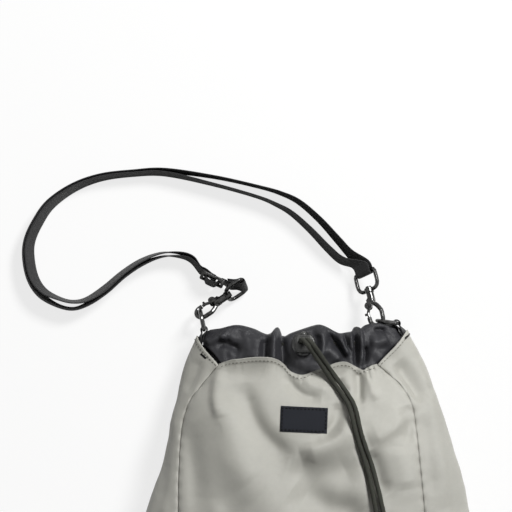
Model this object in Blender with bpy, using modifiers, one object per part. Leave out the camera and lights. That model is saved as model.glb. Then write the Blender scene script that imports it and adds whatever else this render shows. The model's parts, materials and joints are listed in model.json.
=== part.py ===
"""Drawstring shoulder bag lying on its back, mouth towards +Y, front up. Metres, +Z up.

The origin is on the flat underside of the back panel, below the middle of the bag.
"""

import math

import bmesh
import bpy
import numpy as np
from mathutils import Matrix, Vector

# Fabric and clearances
FABRIC = 0.0012            # body nylon with its lining coat
SEAM_GAP = 0.0006          # between two panels along a seam
TOUCH = 0.0003             # between two pieces that touch

# Bag body: stations along the bag, each (y, left edge, right edge, height)
BODY = [
    (-0.140, -0.116, 0.120, 0.084),
    (-0.100, -0.132, 0.136, 0.095),
    (-0.050, -0.134, 0.139, 0.098),
    (0.014, -0.125, 0.130, 0.088),
    (0.060, -0.1125, 0.1185, 0.079),
    (0.104, -0.1025, 0.104, 0.066),
    (0.134, -0.0955, 0.094, 0.052),
    (0.156, -0.0855, 0.083, 0.050),
    (0.166, -0.0805, 0.078, 0.049),
]
BASE_Y = -0.140            # seam of the base panel
HEM_Y = 0.134              # top edge of the front and back panels
SIDE_RISE = 0.022          # how far the gussets' hems stand above it
SIDE_LEVEL = 0.48          # height of the widest line, of the section's height
UPPER_SQUARE = 2.3         # how square the section is above that line
LOWER_SQUARE = 2.6         # and below it
PRESSED = 1.10             # how far the underside is pressed flat on the surface

# Seams between the front panel and the gussets, each (y, x)
LEFT_SEAM = [
    (-0.140, -0.088), (-0.100, -0.097), (-0.050, -0.101), (0.014, -0.0995), (0.050, -0.0993),
    (0.086, -0.097), (0.106, -0.091), (0.119, -0.081), (0.134, -0.0685),
]
RIGHT_SEAM = [
    (-0.140, 0.082), (-0.100, 0.091), (-0.050, 0.094), (0.014, 0.091), (0.050, 0.0882),
    (0.086, 0.085), (0.105, 0.0817), (0.119, 0.073), (0.134, 0.0555),
]
BACK_SEAM_IN = 0.016       # from the bag's edge to the back panel's seams
BASE_BULGE = 0.009         # how far the base panel bulges out

# Collar with its drawcord channel
COLLAR_FABRIC = 0.0012
COLLAR_BOTTOM = 0.118
COLLAR_TOP = 0.163
COLLAR_CLEAR = 0.0008      # between the collar and the panels round it
CHANNEL_BOTTOM = 0.1395    # stitched line under the channel
CHANNEL_DEPTH = 0.0064     # room for the drawcord between the two walls
COLLAR_DEPTH = 2 * COLLAR_FABRIC + CHANNEL_DEPTH
COLLAR_ROLL = 0.0040       # height of the fold over the top
COLLAR_FACE_DRAW = 0.0062  # how far the gathered mouth is lower than the hem, each face
COLLAR_SIDE_DRAW = 0.0092  # how far its ends stand in from the gussets
SIDE_DRAW_FROM = 0.108
SIDE_DRAW_TO = 0.138

# Eyelet
EYELET_X = -0.002
EYELET_Y = 0.1505
EYELET_OUTER = 0.0190
EYELET_BORE = 0.0100
EYELET_WALL = 0.0005
FLANGE = 0.0010
WASHER = 0.0006
WASHER_OUTER = 0.0150

# Drawcord
CORD = 0.0037
CORD_SPACING = 0.0041      # between the two strands in the eyelet and the cord lock
LOOP_TURN = 0.0030         # bend from the channel up into the eyelet
LOOP_LEAD = 0.0060         # straight run out of that bend
LOOP_START = 0.0220        # from the eyelet to where the cord lies in the channel's lane
STRAIGHT_UP = (0.0, 0.004, 0.008, 0.0125)  # the strands' way up through the lock, above the eyelet
# Free ends on the front of the bag, each (x, y, height of the cord's centre above the surface under it)
LEFT_TAIL = [
    (-0.0022, 0.1536, 0.0260), (0.0008, 0.1508, 0.0233), (0.0064, 0.1425, 0.0148), (0.0156, 0.1275, 0.0058),
    (0.0278, 0.1105, 0.0024), (0.0326, 0.1012, 0.0024), (0.0372, 0.0815, 0.0024), (0.0461, 0.0530, 0.0024),
    (0.0520, 0.0245, 0.0024), (0.0560, 0.0020, 0.0024), (0.0575, -0.0120, 0.0026),
]
RIGHT_TAIL = [
    (0.0024, 0.1552, 0.0266), (0.0054, 0.1540, 0.0235), (0.0110, 0.1456, 0.0150), (0.0198, 0.1302, 0.0060),
    (0.0323, 0.1120, 0.0024), (0.0379, 0.1015, 0.0024), (0.0430, 0.0815, 0.0024), (0.0522, 0.0530, 0.0024),
    (0.0588, 0.0245, 0.0024), (0.0640, 0.0000, 0.0024), (0.0675, -0.0210, 0.0028),
]
KNOT = 0.0092
KNOT_LENGTH = 0.0105

# Cord lock
LOCK_WIDTH = 0.0130        # across both strands
LOCK_HEIGHT = 0.0076       # along the strands
LOCK_WALL = 0.0012
LOCK_SLOT = 0.0045         # cord slot, across the strands
LOCK_LIFT = 0.0006         # above the eyelet's flange
LOCK_RIM = 0.0018          # body above the slot
LOCK_ROUND = 0.0009
PRESS_TRAVEL = 0.0020
PISTON_RAIL = 0.0010       # piston beside its window
PISTON_FOOT = 0.0012       # piston below and above its window
PISTON_ROUND = 0.0004
KNOB_ABOVE = 0.0010        # knob's middle above the piston
SPRING_ROOM = 0.0036
SPRING_WIRE = 0.0004
SPRING_COIL = 0.0034
SPRING_TURNS = 2

# Label
LABEL_X = -0.0022
LABEL_Y = 0.0928
LABEL_SIZE = (0.0365, 0.0195)
LABEL_THICK = 0.0006
LABEL_TURN = math.radians(-2.5)

# Webbing
WEBBING = 0.0150
WEBBING_THICK = 0.0012

# Tabs and D-rings: bar position, direction of the ring, lower end of the tab
RING_LEVEL = 0.0240
RING_WIRE = 0.0030
RING_INNER = 0.0150
RING_LEG = 0.0067
TAB_SIDES = {
    "left": {"bar": (-0.0802, 0.1610), "foot": (-0.0846, 0.1385), "ring": (-0.20, 0.98)},
    "right": {"bar": (0.0720, 0.1661), "foot": (0.0848, 0.1390), "ring": (-0.991, 0.131)},
}

# Hooks
HOOK_WIRE = 0.0036
HOOK_INNER = 0.0070        # width of the eye
HOOK_EYE_TOP = 0.01645     # where the eye ends and the neck begins, from the bow's end
BOW_TIP = 0.0094           # end of the bow on the gate's side
NECK_RADIUS = 0.0030
NECK_TOP = 0.02865
BRIDGE_AT = 0.02145
CHEEK_THICK = 0.0054       # body thickness at the gate's pivot
CHEEK_RADIUS = 0.0029
PIVOT = (-0.0036, 0.01845)
PIN_RADIUS = 0.0006
KNUCKLE_RADIUS = 0.0020
KNUCKLE_HEIGHT = 0.0014
GATE_SLOT = 0.0032
GATE_WIRE = 0.0024
THUMB = 0.0022             # nub on the gate
THUMB_RADIUS = 0.0010
BRIDGE = (0.0068, 0.0060)
SLOT_ROOM = (0.0075, 0.0072)
GATE_SPRING_WIRE = 0.0002  # its radius
GATE_SPRING_PITCH = 0.00054
GATE_SPRING_TURNS = 1.25
POST_RADIUS = 0.00125
BOSS_RADIUS = 0.0036
BOSS_LENGTH = 0.0037
HEAD_RADIUS = 0.0023
HEAD_THICK = 0.0010
LOOP_WIRE = 0.0032
LOOP_INNER = 0.0170
LOOP_REACH = 0.0150        # from the swivel's middle to the bar under the webbing
WIRE_SEAT = HOOK_WIRE + TOUCH + RING_WIRE / 2  # from the bow's end to the middle of the D-ring's wire
HOOK_SIDES = {
    "left": {
        "heading": (0.83, 0.557), "pitch": math.radians(-8), "roll": math.radians(42), "arc": math.radians(-45),
    },
    "right": {"heading": (-0.24, 0.971), "pitch": math.radians(-15), "roll": math.radians(10), "arc": 0.0},
}

# Roll of each swivel loop about the hook's axis, from the hook's own plane
LOOP_ROLL = {"left": math.radians(102), "right": math.radians(-30)}

# Strap slider
SLIDER_AT = (-0.0740, 0.2007, 0.0102)
SLIDER_ALONG = (0.908, -0.419)
SLIDER_LEAN = math.radians(18)
SLIDER_LENGTH = 0.0200
SLIDER_THICK = 0.0022
SLIDER_BAR = 0.0025
SLIDER_SIDE = 0.0022

# Strap on the surface: each (x, y, lean, inward). The points lie on the outer layer's outer edge, the
# webbing stands on its other edge and leans out by this many degrees, and the inner layer runs inside
# it by the last column.
STRAP = [
    (-0.0916, 0.2131, -14, 0.0024), (-0.1000, 0.2170, -8, 0.0028), (-0.1135, 0.2176, 4, 0.0030),
    (-0.1282, 0.2113, 12, 0.0028), (-0.1425, 0.2017, 16, 0.0024), (-0.1568, 0.1890, 20, 0.0022),
    (-0.1714, 0.1795, 14, 0.0034), (-0.1846, 0.1755, 8, 0.0056), (-0.1981, 0.1783, 8, 0.0056),
    (-0.2124, 0.1862, 16, 0.0040), (-0.2215, 0.1993, 24, 0.0024), (-0.2254, 0.2168, 26, 0.0020),
    (-0.2243, 0.2323, 25, 0.0018), (-0.2175, 0.2478, 24, 0.0018), (-0.2060, 0.2637, 22, 0.0018),
    (-0.1862, 0.2772, 18, 0.0018), (-0.1635, 0.2851, 14, 0.0018), (-0.1369, 0.2883, 12, 0.0018),
    (-0.1107, 0.2895, 13, 0.0026), (-0.0710, 0.2835, 8, 0.0060), (-0.0360, 0.2756, 7, 0.0080),
    (-0.0185, 0.2708, 10, 0.0098), (-0.0035, 0.2641, 14, 0.0108), (0.0132, 0.2502, 17, 0.0110),
    (0.0283, 0.2343, 21, 0.0104), (0.0380, 0.2243, 26, 0.0084),
]
STRAP_LEVEL = 0.0077       # height of the webbing's middle where it stands on its edge
FOLD_BACK = 0.0115         # length of the end folded back round the left loop


# ---------------------------------------------------------------- helpers

def smooth(table, at, column):
    """Smooth curve through one column of a table whose first column rises."""
    xs = [row[0] for row in table]
    at = min(max(at, xs[0]), xs[-1])
    i = min(max(int(np.searchsorted(xs, at)) - 1, 0), len(xs) - 2)
    def slope(k):
        if k <= 0 or k >= len(xs) - 1:
            k = min(max(k, 1), len(xs) - 1)
            return (table[k][column] - table[k - 1][column]) / (xs[k] - xs[k - 1])
        return (table[k + 1][column] - table[k - 1][column]) / (xs[k + 1] - xs[k - 1])
    step = xs[i + 1] - xs[i]
    t = (at - xs[i]) / step
    return (
        (2 * t**3 - 3 * t**2 + 1) * table[i][column]
        + (t**3 - 2 * t**2 + t) * step * slope(i)
        + (3 * t**2 - 2 * t**3) * table[i + 1][column]
        + (t**3 - t**2) * step * slope(i + 1)
    )


def route(points, spacing):
    """Points about one spacing apart on a smooth curve through the given points."""
    points = np.array(points, float)
    ends = np.vstack([2 * points[0] - points[1], points, 2 * points[-1] - points[-2]])
    found = []
    for a, b, c, d in zip(ends[:-3], ends[1:-2], ends[2:-1], ends[3:]):
        count = max(1, round(np.linalg.norm((c - b)[:3]) / spacing))
        for t in np.arange(count) / count:
            found.append(0.5 * (2 * b + (c - a) * t + (2 * a - 5 * b + 4 * c - d) * t**2
                                + (3 * b - a - 3 * c + d) * t**3))
    return np.array(found + [points[-1]])


def material(name, colour, roughness, metallic=0.0):
    made = bpy.data.materials.new(name)
    made.use_nodes = True
    shader = made.node_tree.nodes["Principled BSDF"]
    shader.inputs["Base Color"].default_value = (*colour, 1)
    shader.inputs["Roughness"].default_value = roughness
    shader.inputs["Metallic"].default_value = metallic
    made.diffuse_color = (*colour, 1)
    return made


def add(name, mesh, finish=None, matrix=Matrix(), cutter=False):
    """An object for this mesh, among the parts or the cutters."""
    made = bpy.data.objects.new(name, mesh)
    made.matrix_world = matrix
    if cutter:
        cutters.objects.link(made)
        made.hide_render = True
        made.display_type = "WIRE"
    else:
        parts.objects.link(made)
        mesh.materials.append(finish)
        mesh.shade_smooth()
        mesh.set_sharp_from_angle(angle=math.radians(35))
    return made


def mesh_from(name, build):
    """A mesh made by a bmesh function."""
    mesh = bpy.data.meshes.new(name)
    shape = bmesh.new()
    build(shape)
    shape.to_mesh(mesh)
    shape.free()
    return mesh


def surface(name, rows, around=False, along=False):
    """A mesh over a grid of points, closed around each row or from the last row to the first."""
    rows = np.asarray(rows)
    count, width = rows.shape[:2]
    def corner(i, j):
        return (i % count) * width + j % width
    faces = [
        (corner(i, j), corner(i, j + 1), corner(i + 1, j + 1), corner(i + 1, j))
        for i in range(count if along else count - 1)
        for j in range(width if around else width - 1)
    ]
    mesh = bpy.data.meshes.new(name)
    mesh.from_pydata([tuple(p) for p in rows.reshape(-1, 3)], [], faces)
    return mesh


def face_out(mesh):
    """Turns the faces of a closed mesh outwards."""
    shape = bmesh.new()
    shape.from_mesh(mesh)
    bmesh.ops.recalc_face_normals(shape, faces=shape.faces)
    shape.to_mesh(mesh)
    shape.free()
    return mesh


def thicken(made, thickness, offset=-1.0):
    solid = made.modifiers.new("thickness", "SOLIDIFY")
    solid.thickness = thickness
    solid.offset = offset
    solid.use_even_offset = True
    return made


def join(made, other, operation):
    """A Boolean of another object on this one."""
    step = made.modifiers.new(operation.lower(), "BOOLEAN")
    step.operation = operation
    step.solver = "EXACT"
    step.object = other
    return made


def cylinder(radius, depth, centre=(0, 0, 0), axis="Z", sides=24):
    """A mesh of a cylinder about a local axis."""
    turn = {
        "Z": Matrix(),
        "Y": Matrix.Rotation(math.pi / 2, 4, "X"),
        "X": Matrix.Rotation(math.pi / 2, 4, "Y"),
    }
    return mesh_from("cylinder", lambda shape: bmesh.ops.create_cone(
        shape, cap_ends=True, segments=sides, radius1=radius, radius2=radius, depth=depth,
        matrix=Matrix.Translation(centre) @ turn[axis]))


def block(size, centre=(0, 0, 0), round_by=0.0):
    """A mesh of a box, its edges rounded."""
    def build(shape):
        bmesh.ops.create_cube(shape, size=1, matrix=Matrix.Translation(centre) @ Matrix.Diagonal((*size, 1)))
        if round_by:
            bmesh.ops.bevel(shape, geom=shape.edges[:], offset=round_by, segments=2, affect="EDGES")
    return mesh_from("block", build)


def tube(name, points, radius, closed=False, sides=2):
    """A mesh of a round wire along these points."""
    curve = bpy.data.curves.new(name, "CURVE")
    curve.dimensions = "3D"
    curve.bevel_depth = radius
    curve.bevel_resolution = sides
    curve.use_fill_caps = True
    line = curve.splines.new("POLY")
    line.points.add(len(points) - 1)
    for point, spot in zip(line.points, points):
        point.co = (*spot, 1)
    line.use_cyclic_u = closed
    holder = bpy.data.objects.new(name, curve)
    bpy.context.scene.collection.objects.link(holder)
    graph = bpy.context.evaluated_depsgraph_get()
    mesh = bpy.data.meshes.new_from_object(holder.evaluated_get(graph))
    bpy.data.objects.remove(holder)
    shape = bmesh.new()
    shape.from_mesh(mesh)
    bmesh.ops.remove_doubles(shape, verts=shape.verts, dist=0.00002)
    shape.to_mesh(mesh)
    shape.free()
    return mesh


def arc(centre, radius, start, end, count, level=0.0):
    """Points on an arc in the local XY plane, in degrees."""
    return [
        (centre[0] + radius * math.cos(a), centre[1] + radius * math.sin(a), level)
        for a in np.radians(np.linspace(start, end, count))
    ]


def frame_at(origin, along, up):
    """A matrix whose local Y runs along one vector and whose local Z leans to the other."""
    y = Vector(along).normalized()
    x = y.cross(Vector(up)).normalized()
    z = x.cross(y)
    return Matrix.Translation(origin) @ Matrix((x, y, z)).transposed().to_4x4()


# ---------------------------------------------------------------- bag section

def half_sizes(y, inset):
    """Middle x, middle z, half width, upper and lower half height of the section at y."""
    left = smooth(BODY, y, 1)
    right = smooth(BODY, y, 2)
    height = smooth(BODY, y, 3)
    level = SIDE_LEVEL * height
    down = level * PRESSED
    return (left + right) / 2, level, (right - left) / 2 - inset, height - level - inset, down - inset


def section(y, turn, inset=0.0, side=0.0, face=0.0):
    """Point on the bag's section at y. The turn runs from 0 at the right edge over the front to pi."""
    middle, level, wide, up, down = half_sizes(y, inset)
    c, s = math.cos(turn), math.sin(turn)
    square = UPPER_SQUARE if s >= 0 else LOWER_SQUARE
    x = middle + (wide - side) * math.copysign(abs(c) ** (2 / square), c)
    if s >= 0:
        return x, y, level + (up - face) * s ** (2 / square)
    return x, y, max(level - (down - face) * (-s) ** (2 / square), inset + face)


def seam_turn(y, x):
    """Turn at which the upper section has this x."""
    middle, _, wide, _, _ = half_sizes(y, 0.0)
    share = min(abs(x - middle) / wide, 1.0)
    turn = math.acos(share ** (UPPER_SQUARE / 2))
    return turn if x > middle else math.pi - turn


def back_turn(y, side):
    """Turn of the back panel's seam on one side, 1 right and -1 left."""
    _, _, wide, _, _ = half_sizes(y, 0.0)
    turn = math.acos(((wide - BACK_SEAM_IN) / wide) ** (LOWER_SQUARE / 2))
    return -turn if side > 0 else -math.pi + turn


def turn_over(y, turn, distance):
    """Change of turn that moves a point of the section by this distance."""
    step = 0.01
    ahead, behind = Vector(section(y, turn + step)), Vector(section(y, turn - step))
    return distance * 2 * step / (ahead - behind).length


def front_height(x, y):
    """Height of the front of the bag over a point on the surface below it."""
    middle, level, wide, up, _ = half_sizes(y, 0.0)
    share = min(abs(x - middle) / wide, 1.0)
    return level + up * (1 - share**UPPER_SQUARE) ** (1 / UPPER_SQUARE)


def panel(name, start, end, top, columns, rows, finish):
    """A panel of the body between two seams, from the base seam up to its hem."""
    grid = []
    for i in range(rows + 1):
        line = []
        for j in range(columns + 1):
            share = j / columns
            y = BASE_Y + (top(share) - BASE_Y) * i / rows
            a = start(y) + turn_over(y, start(y), SEAM_GAP / 2)
            b = end(y) - turn_over(y, end(y), SEAM_GAP / 2)
            line.append(section(y, a + (b - a) * share))
        grid.append(line)
    made = add(name, face_out_open(surface(name, grid)), finish)
    return thicken(made, FABRIC)


def face_out_open(mesh):
    """Turns an open sheet of the bag so that its normals point away from the bag's middle."""
    shape = bmesh.new()
    shape.from_mesh(mesh)
    bmesh.ops.recalc_face_normals(shape, faces=shape.faces)
    shape.faces.ensure_lookup_table()
    total = sum(
        face.normal.dot(face.calc_center_median() - Vector((0, 0, BODY[3][3] / 2))) * face.calc_area()
        for face in shape.faces
    )
    if total < 0:
        bmesh.ops.reverse_faces(shape, faces=shape.faces)
    shape.to_mesh(mesh)
    shape.free()
    return mesh


def make_body(finish):
    def left(y):
        return seam_turn(y, smooth(LEFT_SEAM, y, 1))
    def right(y):
        return seam_turn(y, smooth(RIGHT_SEAM, y, 1))
    def back_left(y):
        return back_turn(y, -1)
    def back_right(y):
        return back_turn(y, 1)
    def level_hem(share):
        return HEM_Y
    def raised_hem(share):
        return HEM_Y + SIDE_RISE * math.sin(math.pi * share) ** 0.8

    panel("front_panel", right, left, level_hem, 16, 16, finish)
    panel("back_panel", back_left, back_right, level_hem, 14, 12, finish)
    panel("gusset_right", back_right, right, raised_hem, 10, 16, finish)
    panel("gusset_left", left, lambda y: back_left(y) + 2 * math.pi, raised_hem, 10, 16, finish)

    rings = []
    for share in (1.0, 0.97, 0.88, 0.7, 0.45, 0.2):
        bulge = BASE_BULGE * (1 - share**2.5)
        middle, level, _, _, _ = half_sizes(BASE_Y, 0.0)
        ring = []
        for k in range(40):
            x, _, z = section(BASE_Y, 2 * math.pi * k / 40)
            y = BASE_Y - TOUCH - FABRIC - bulge
            ring.append((middle + (x - middle) * share, y, level + (z - level) * share))
        rings.append(ring)
    mesh = surface("base_panel", rings, around=True)
    shape = bmesh.new()
    shape.from_mesh(mesh)
    shape.verts.ensure_lookup_table()
    shape.faces.new(shape.verts[-40:])
    shape.to_mesh(mesh)
    shape.free()
    thicken(add("base_panel", face_out_open(mesh), finish), FABRIC)


# ---------------------------------------------------------------- collar and eyelet

def collar_point(y, turn, depth):
    """Point in the collar, a depth in from its outer face."""
    share = min(max((y - HEM_Y) / (COLLAR_TOP - HEM_Y), 0.0), 1.0)
    drawn = min(max((y - SIDE_DRAW_FROM) / (SIDE_DRAW_TO - SIDE_DRAW_FROM), 0.0), 1.0)
    side = COLLAR_SIDE_DRAW * drawn * drawn * (3 - 2 * drawn)
    return section(y, turn, FABRIC + COLLAR_CLEAR + depth, side, COLLAR_FACE_DRAW * share)


def ring_solid(name, profile, count=48):
    """A closed ring whose section is the given (y, depth) outline."""
    rows = [[collar_point(y, 2 * math.pi * k / count, depth) for k in range(count)] for y, depth in profile]
    return face_out(surface(name, rows, around=True, along=True))


def eyelet_frame():
    """Frame of the eyelet: origin on the collar's outer face, local Z along its outward normal."""
    step = 0.004
    middle = half_sizes(EYELET_Y, 0.0)[0]
    def face(y):
        return collar_point(y, math.pi / 2, 0.0)[2]
    slope = (face(EYELET_Y + step) - face(EYELET_Y - step)) / (2 * step)
    sag = face(EYELET_Y) - collar_point(EYELET_Y, seam_turn(EYELET_Y, middle + EYELET_OUTER / 2), 0.0)[2]
    tilt = math.atan(-slope)
    origin = Vector((EYELET_X, EYELET_Y, face(EYELET_Y) - sag / 2))
    return Matrix.Translation(origin) @ Matrix.Rotation(-tilt, 4, "X")


def make_collar(finish):
    wall = COLLAR_FABRIC
    depth = COLLAR_DEPTH
    middle = depth / 2
    half_way = (COLLAR_BOTTOM + HEM_Y) / 2
    above_hem = (HEM_Y + EYELET_Y) / 2
    shoulder = COLLAR_TOP - COLLAR_ROLL
    roof = COLLAR_TOP - 1.5 * wall
    floor = CHANNEL_BOTTOM + 2 * wall
    outline = [
        (COLLAR_BOTTOM, 0.0), (half_way, 0.0), (HEM_Y, 0.0), (above_hem, 0.0), (EYELET_Y, 0.0),
        (shoulder, 0.0), (COLLAR_TOP - COLLAR_ROLL / 2, wall), (COLLAR_TOP, middle),
        (COLLAR_TOP - COLLAR_ROLL / 2, depth - wall),
        (shoulder, depth), (EYELET_Y, depth), (CHANNEL_BOTTOM + wall, depth),
        (CHANNEL_BOTTOM - wall, middle + wall), (CHANNEL_BOTTOM - COLLAR_ROLL, wall),
        (HEM_Y, wall), (half_way, wall), (COLLAR_BOTTOM, wall),
    ]
    made = add("collar", ring_solid("collar", outline), finish)
    channel = [
        (floor, wall), (EYELET_Y, wall), (shoulder, wall), (roof, middle - wall),
        (roof, middle + wall), (shoulder, depth - wall), (EYELET_Y, depth - wall), (floor, depth - wall),
        (CHANNEL_BOTTOM + 0.8 * wall, middle),
    ]
    join(made, add("channel_cutter", ring_solid("channel", channel), cutter=True), "DIFFERENCE")
    hole = cylinder(EYELET_BORE / 2 + EYELET_WALL + TOUCH, 2.5 * (wall + 0.001), (0, 0, 0), sides=32)
    join(made, add("eyelet_hole_cutter", hole, matrix=eyelet_frame(), cutter=True), "DIFFERENCE")
    return made


def turned(name, profile, finish, matrix, steps=32):
    """A ring or boss turned about local Z from its (radius, height) outline."""
    mesh = bpy.data.meshes.new(name)
    count = len(profile)
    mesh.from_pydata([(r, 0, z) for r, z in profile], [(i, (i + 1) % count) for i in range(count)], [])
    made = add(name, mesh, finish, matrix)
    spin = made.modifiers.new("turn", "SCREW")
    spin.steps = spin.render_steps = steps
    spin.use_merge_vertices = True
    spin.merge_threshold = 0.00001
    return made


def make_eyelet(finish):
    place = eyelet_frame()
    bore = EYELET_BORE / 2
    barrel = bore + EYELET_WALL
    reach = COLLAR_FABRIC + TOUCH + WASHER + TOUCH
    low = TOUCH
    rim = EYELET_OUTER / 2
    turned("eyelet", [
        (bore + 0.0006, low + FLANGE), (rim - 0.0012, low + FLANGE), (rim, low + 0.0003), (rim, low),
        (barrel, low), (barrel, -reach), (bore, -reach), (bore, low + FLANGE - 0.0006),
    ], finish, place)
    inner = barrel + TOUCH
    top = -COLLAR_FABRIC - TOUCH
    turned("eyelet_washer", [
        (inner, top), (WASHER_OUTER / 2, top), (WASHER_OUTER / 2, top - WASHER), (inner, top - WASHER),
    ], finish, place)


# ---------------------------------------------------------------- drawcord and lock

def strand_x(side):
    return side * CORD_SPACING / 2


def make_drawcord(finish):
    place = eyelet_frame()
    lane = COLLAR_DEPTH - COLLAR_FABRIC - CORD / 2 - 2 * TOUCH
    top = TOUCH + FLANGE
    def rise(side):
        """From above the eyelet down into the channel, turning outwards."""
        x = strand_x(side)
        drop = lane - LOOP_TURN
        bend = [
            (x + side * LOOP_TURN * (1 - math.cos(a)), 0, -drop - LOOP_TURN * math.sin(a))
            for a in np.linspace(0, math.pi / 2, 6)
        ]
        away = (x + side * (LOOP_TURN + LOOP_LEAD), 0, -lane)
        return [place @ Vector(p) for p in [(x, 0, top), (x, 0, -drop / 2), *bend, away]]
    around = []
    count = 46
    first = seam_turn(EYELET_Y, EYELET_X + LOOP_START)
    last = seam_turn(EYELET_Y, EYELET_X - LOOP_START) - 2 * math.pi
    for k in range(count + 1):
        turn = first + (last - first) * k / count
        around.append(Vector(collar_point(EYELET_Y, turn, lane)))
    points = rise(1) + around + rise(-1)[::-1]
    made = add("drawcord_loop", tube("drawcord_loop", points, CORD / 2), finish)

    ends = {}
    for name, side, spots in (("left", -1, LEFT_TAIL), ("right", 1, RIGHT_TAIL)):
        start = [place @ Vector((strand_x(side), 0, top + TOUCH + up)) for up in STRAIGHT_UP]
        run = [Vector((x, y, surface_under(x, y) + up)) for x, y, up in spots]
        points = route([*start, *run], 2.2 * CORD)
        add("drawcord_tail_" + name, tube("drawcord_tail_" + name, points, CORD / 2), finish)
        ends[name] = Vector(points[-1]), (Vector(points[-1]) - Vector(points[-2])).normalized()
    for name, (end, along) in ends.items():
        centre = end + along * (KNOT_LENGTH / 2 + TOUCH)
        centre.z = surface_under(centre.x, centre.y) + KNOT / 2 + 2 * TOUCH
        size = Matrix.Diagonal((KNOT, KNOT_LENGTH, KNOT, 1))
        mesh = mesh_from("cord_knot_" + name, lambda shape: bmesh.ops.create_uvsphere(
            shape, u_segments=14, v_segments=9, radius=0.5, matrix=size))
        add("cord_knot_" + name, mesh, finish, frame_at(centre, (along.x, along.y, 0), (0, 0, 1)))
    return made


def surface_under(x, y):
    """Height of the bag's front, or of the collar above the hem."""
    if y <= HEM_Y:
        return front_height(x, y)
    middle = half_sizes(y, 0.0)[0]
    return max(collar_point(y, seam_turn(y, x), 0.0)[2] if abs(x - middle) < 0.06 else 0.0, 0.0)


def lock_frame():
    """Frame of the cord lock: local Z along the strands, local Y along its button."""
    lift = TOUCH + FLANGE + LOCK_LIFT + LOCK_HEIGHT / 2
    return eyelet_frame() @ Matrix.Translation((0, 0, lift))


def make_lock(finish, spring_finish):
    place = lock_frame()
    slot_wide = CORD_SPACING + CORD + 2 * TOUCH
    piston_wide = slot_wide + 2 * PISTON_RAIL
    piston_high = LOCK_HEIGHT - 2 * LOCK_WALL - 2 * TOUCH
    low = -LOCK_SLOT / 2 - PISTON_FOOT
    floor = low - SPRING_ROOM
    high = LOCK_SLOT / 2 + LOCK_RIM

    shell = block(
        (LOCK_WIDTH, high - floor + LOCK_WALL, LOCK_HEIGHT), (0, (high + floor - LOCK_WALL) / 2, 0), LOCK_ROUND)
    body = add("cord_lock_body", shell, finish, place)
    past = 0.002
    chamber = block(
        (piston_wide + 2 * TOUCH, high - floor + past, piston_high + 2 * TOUCH),
        (0, (high + floor + past) / 2, 0))
    join(body, add("lock_chamber_cutter", chamber, matrix=place, cutter=True), "DIFFERENCE")
    slot = block((slot_wide, LOCK_SLOT, 2 * LOCK_HEIGHT), (0, 0, 0), LOCK_ROUND)
    join(body, add("lock_slot_cutter", slot, matrix=place, cutter=True), "DIFFERENCE")

    top = LOCK_SLOT / 2 + PRESS_TRAVEL + PISTON_FOOT
    piston = block((piston_wide, top - low, piston_high), (0, (top + low) / 2, 0), PISTON_ROUND)
    button = add("cord_lock_button", piston, finish, place)
    window = block(
        (slot_wide, LOCK_SLOT + PRESS_TRAVEL, 2 * LOCK_HEIGHT), (0, PRESS_TRAVEL / 2, 0), LOCK_ROUND)
    join(button, add("button_window_cutter", window, matrix=place, cutter=True), "DIFFERENCE")
    knob_at = Matrix.Translation((0, top + KNOB_ABOVE, 0))
    knob = mesh_from("button_knob", lambda shape: bmesh.ops.create_uvsphere(
        shape, u_segments=16, v_segments=10, radius=piston_high / 2, matrix=knob_at))
    join(button, add("knob_solid", knob, matrix=place, cutter=True), "UNION")

    # The spring is drawn at the length that it has with the button pressed, its coils almost touching.
    pitch = 1.15 * SPRING_WIRE
    start = floor + TOUCH + SPRING_WIRE / 2
    coil = [
        (SPRING_COIL / 2 * math.cos(a), start + pitch * a / (2 * math.pi), SPRING_COIL / 2 * math.sin(a))
        for a in np.linspace(0, 2 * math.pi * SPRING_TURNS, 12 * SPRING_TURNS + 1)
    ]
    add("cord_lock_spring", tube("cord_lock_spring", coil, SPRING_WIRE / 2, sides=1), spring_finish, place)


def make_label(finish):
    turn = Matrix.Rotation(LABEL_TURN, 2)
    grid = []
    for v in np.linspace(-0.5, 0.5, 7):
        line = []
        for u in np.linspace(-0.5, 0.5, 11):
            x, y = turn @ Vector((u * LABEL_SIZE[0], v * LABEL_SIZE[1]))
            x, y = x + LABEL_X, y + LABEL_Y
            line.append((x, y, front_height(x, y) + TOUCH))
        grid.append(line)
    thicken(add("label", face_out_open(surface("label", grid)), finish), LABEL_THICK, 1.0)


# ---------------------------------------------------------------- rings, hooks and loops

def ribbon(name, points, widths, finish):
    """Webbing along a middle line, its width along the given directions."""
    rows = [
        [p + w * WEBBING * share for share in (-0.5, 0.0, 0.5)]
        for p, w in zip(np.asarray(points), np.asarray(widths))
    ]
    return thicken(add(name, surface(name, rows), finish), WEBBING_THICK, 0.0)


def wrap(centre, across, start, end, radius, count=9):
    """Points round a bar, from one angle to another, about the given pair of directions."""
    first, second = (np.array(v, float) for v in across)
    return [
        np.array(centre) + radius * (math.cos(a) * first + math.sin(a) * second)
        for a in np.radians(np.linspace(start, end, count))
    ]


def ring_point(side, angle):
    """Middle of the D-ring's wire on its round end, the angle above its outermost point."""
    place = TAB_SIDES[side]
    bar = Vector((*place["bar"], RING_LEVEL))
    out = Vector((*place["ring"], 0)).normalized()
    radius = (RING_INNER + RING_WIRE) / 2
    return bar + out * (RING_LEG + radius * math.cos(angle)) + Vector((0, 0, radius * math.sin(angle)))


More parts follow.
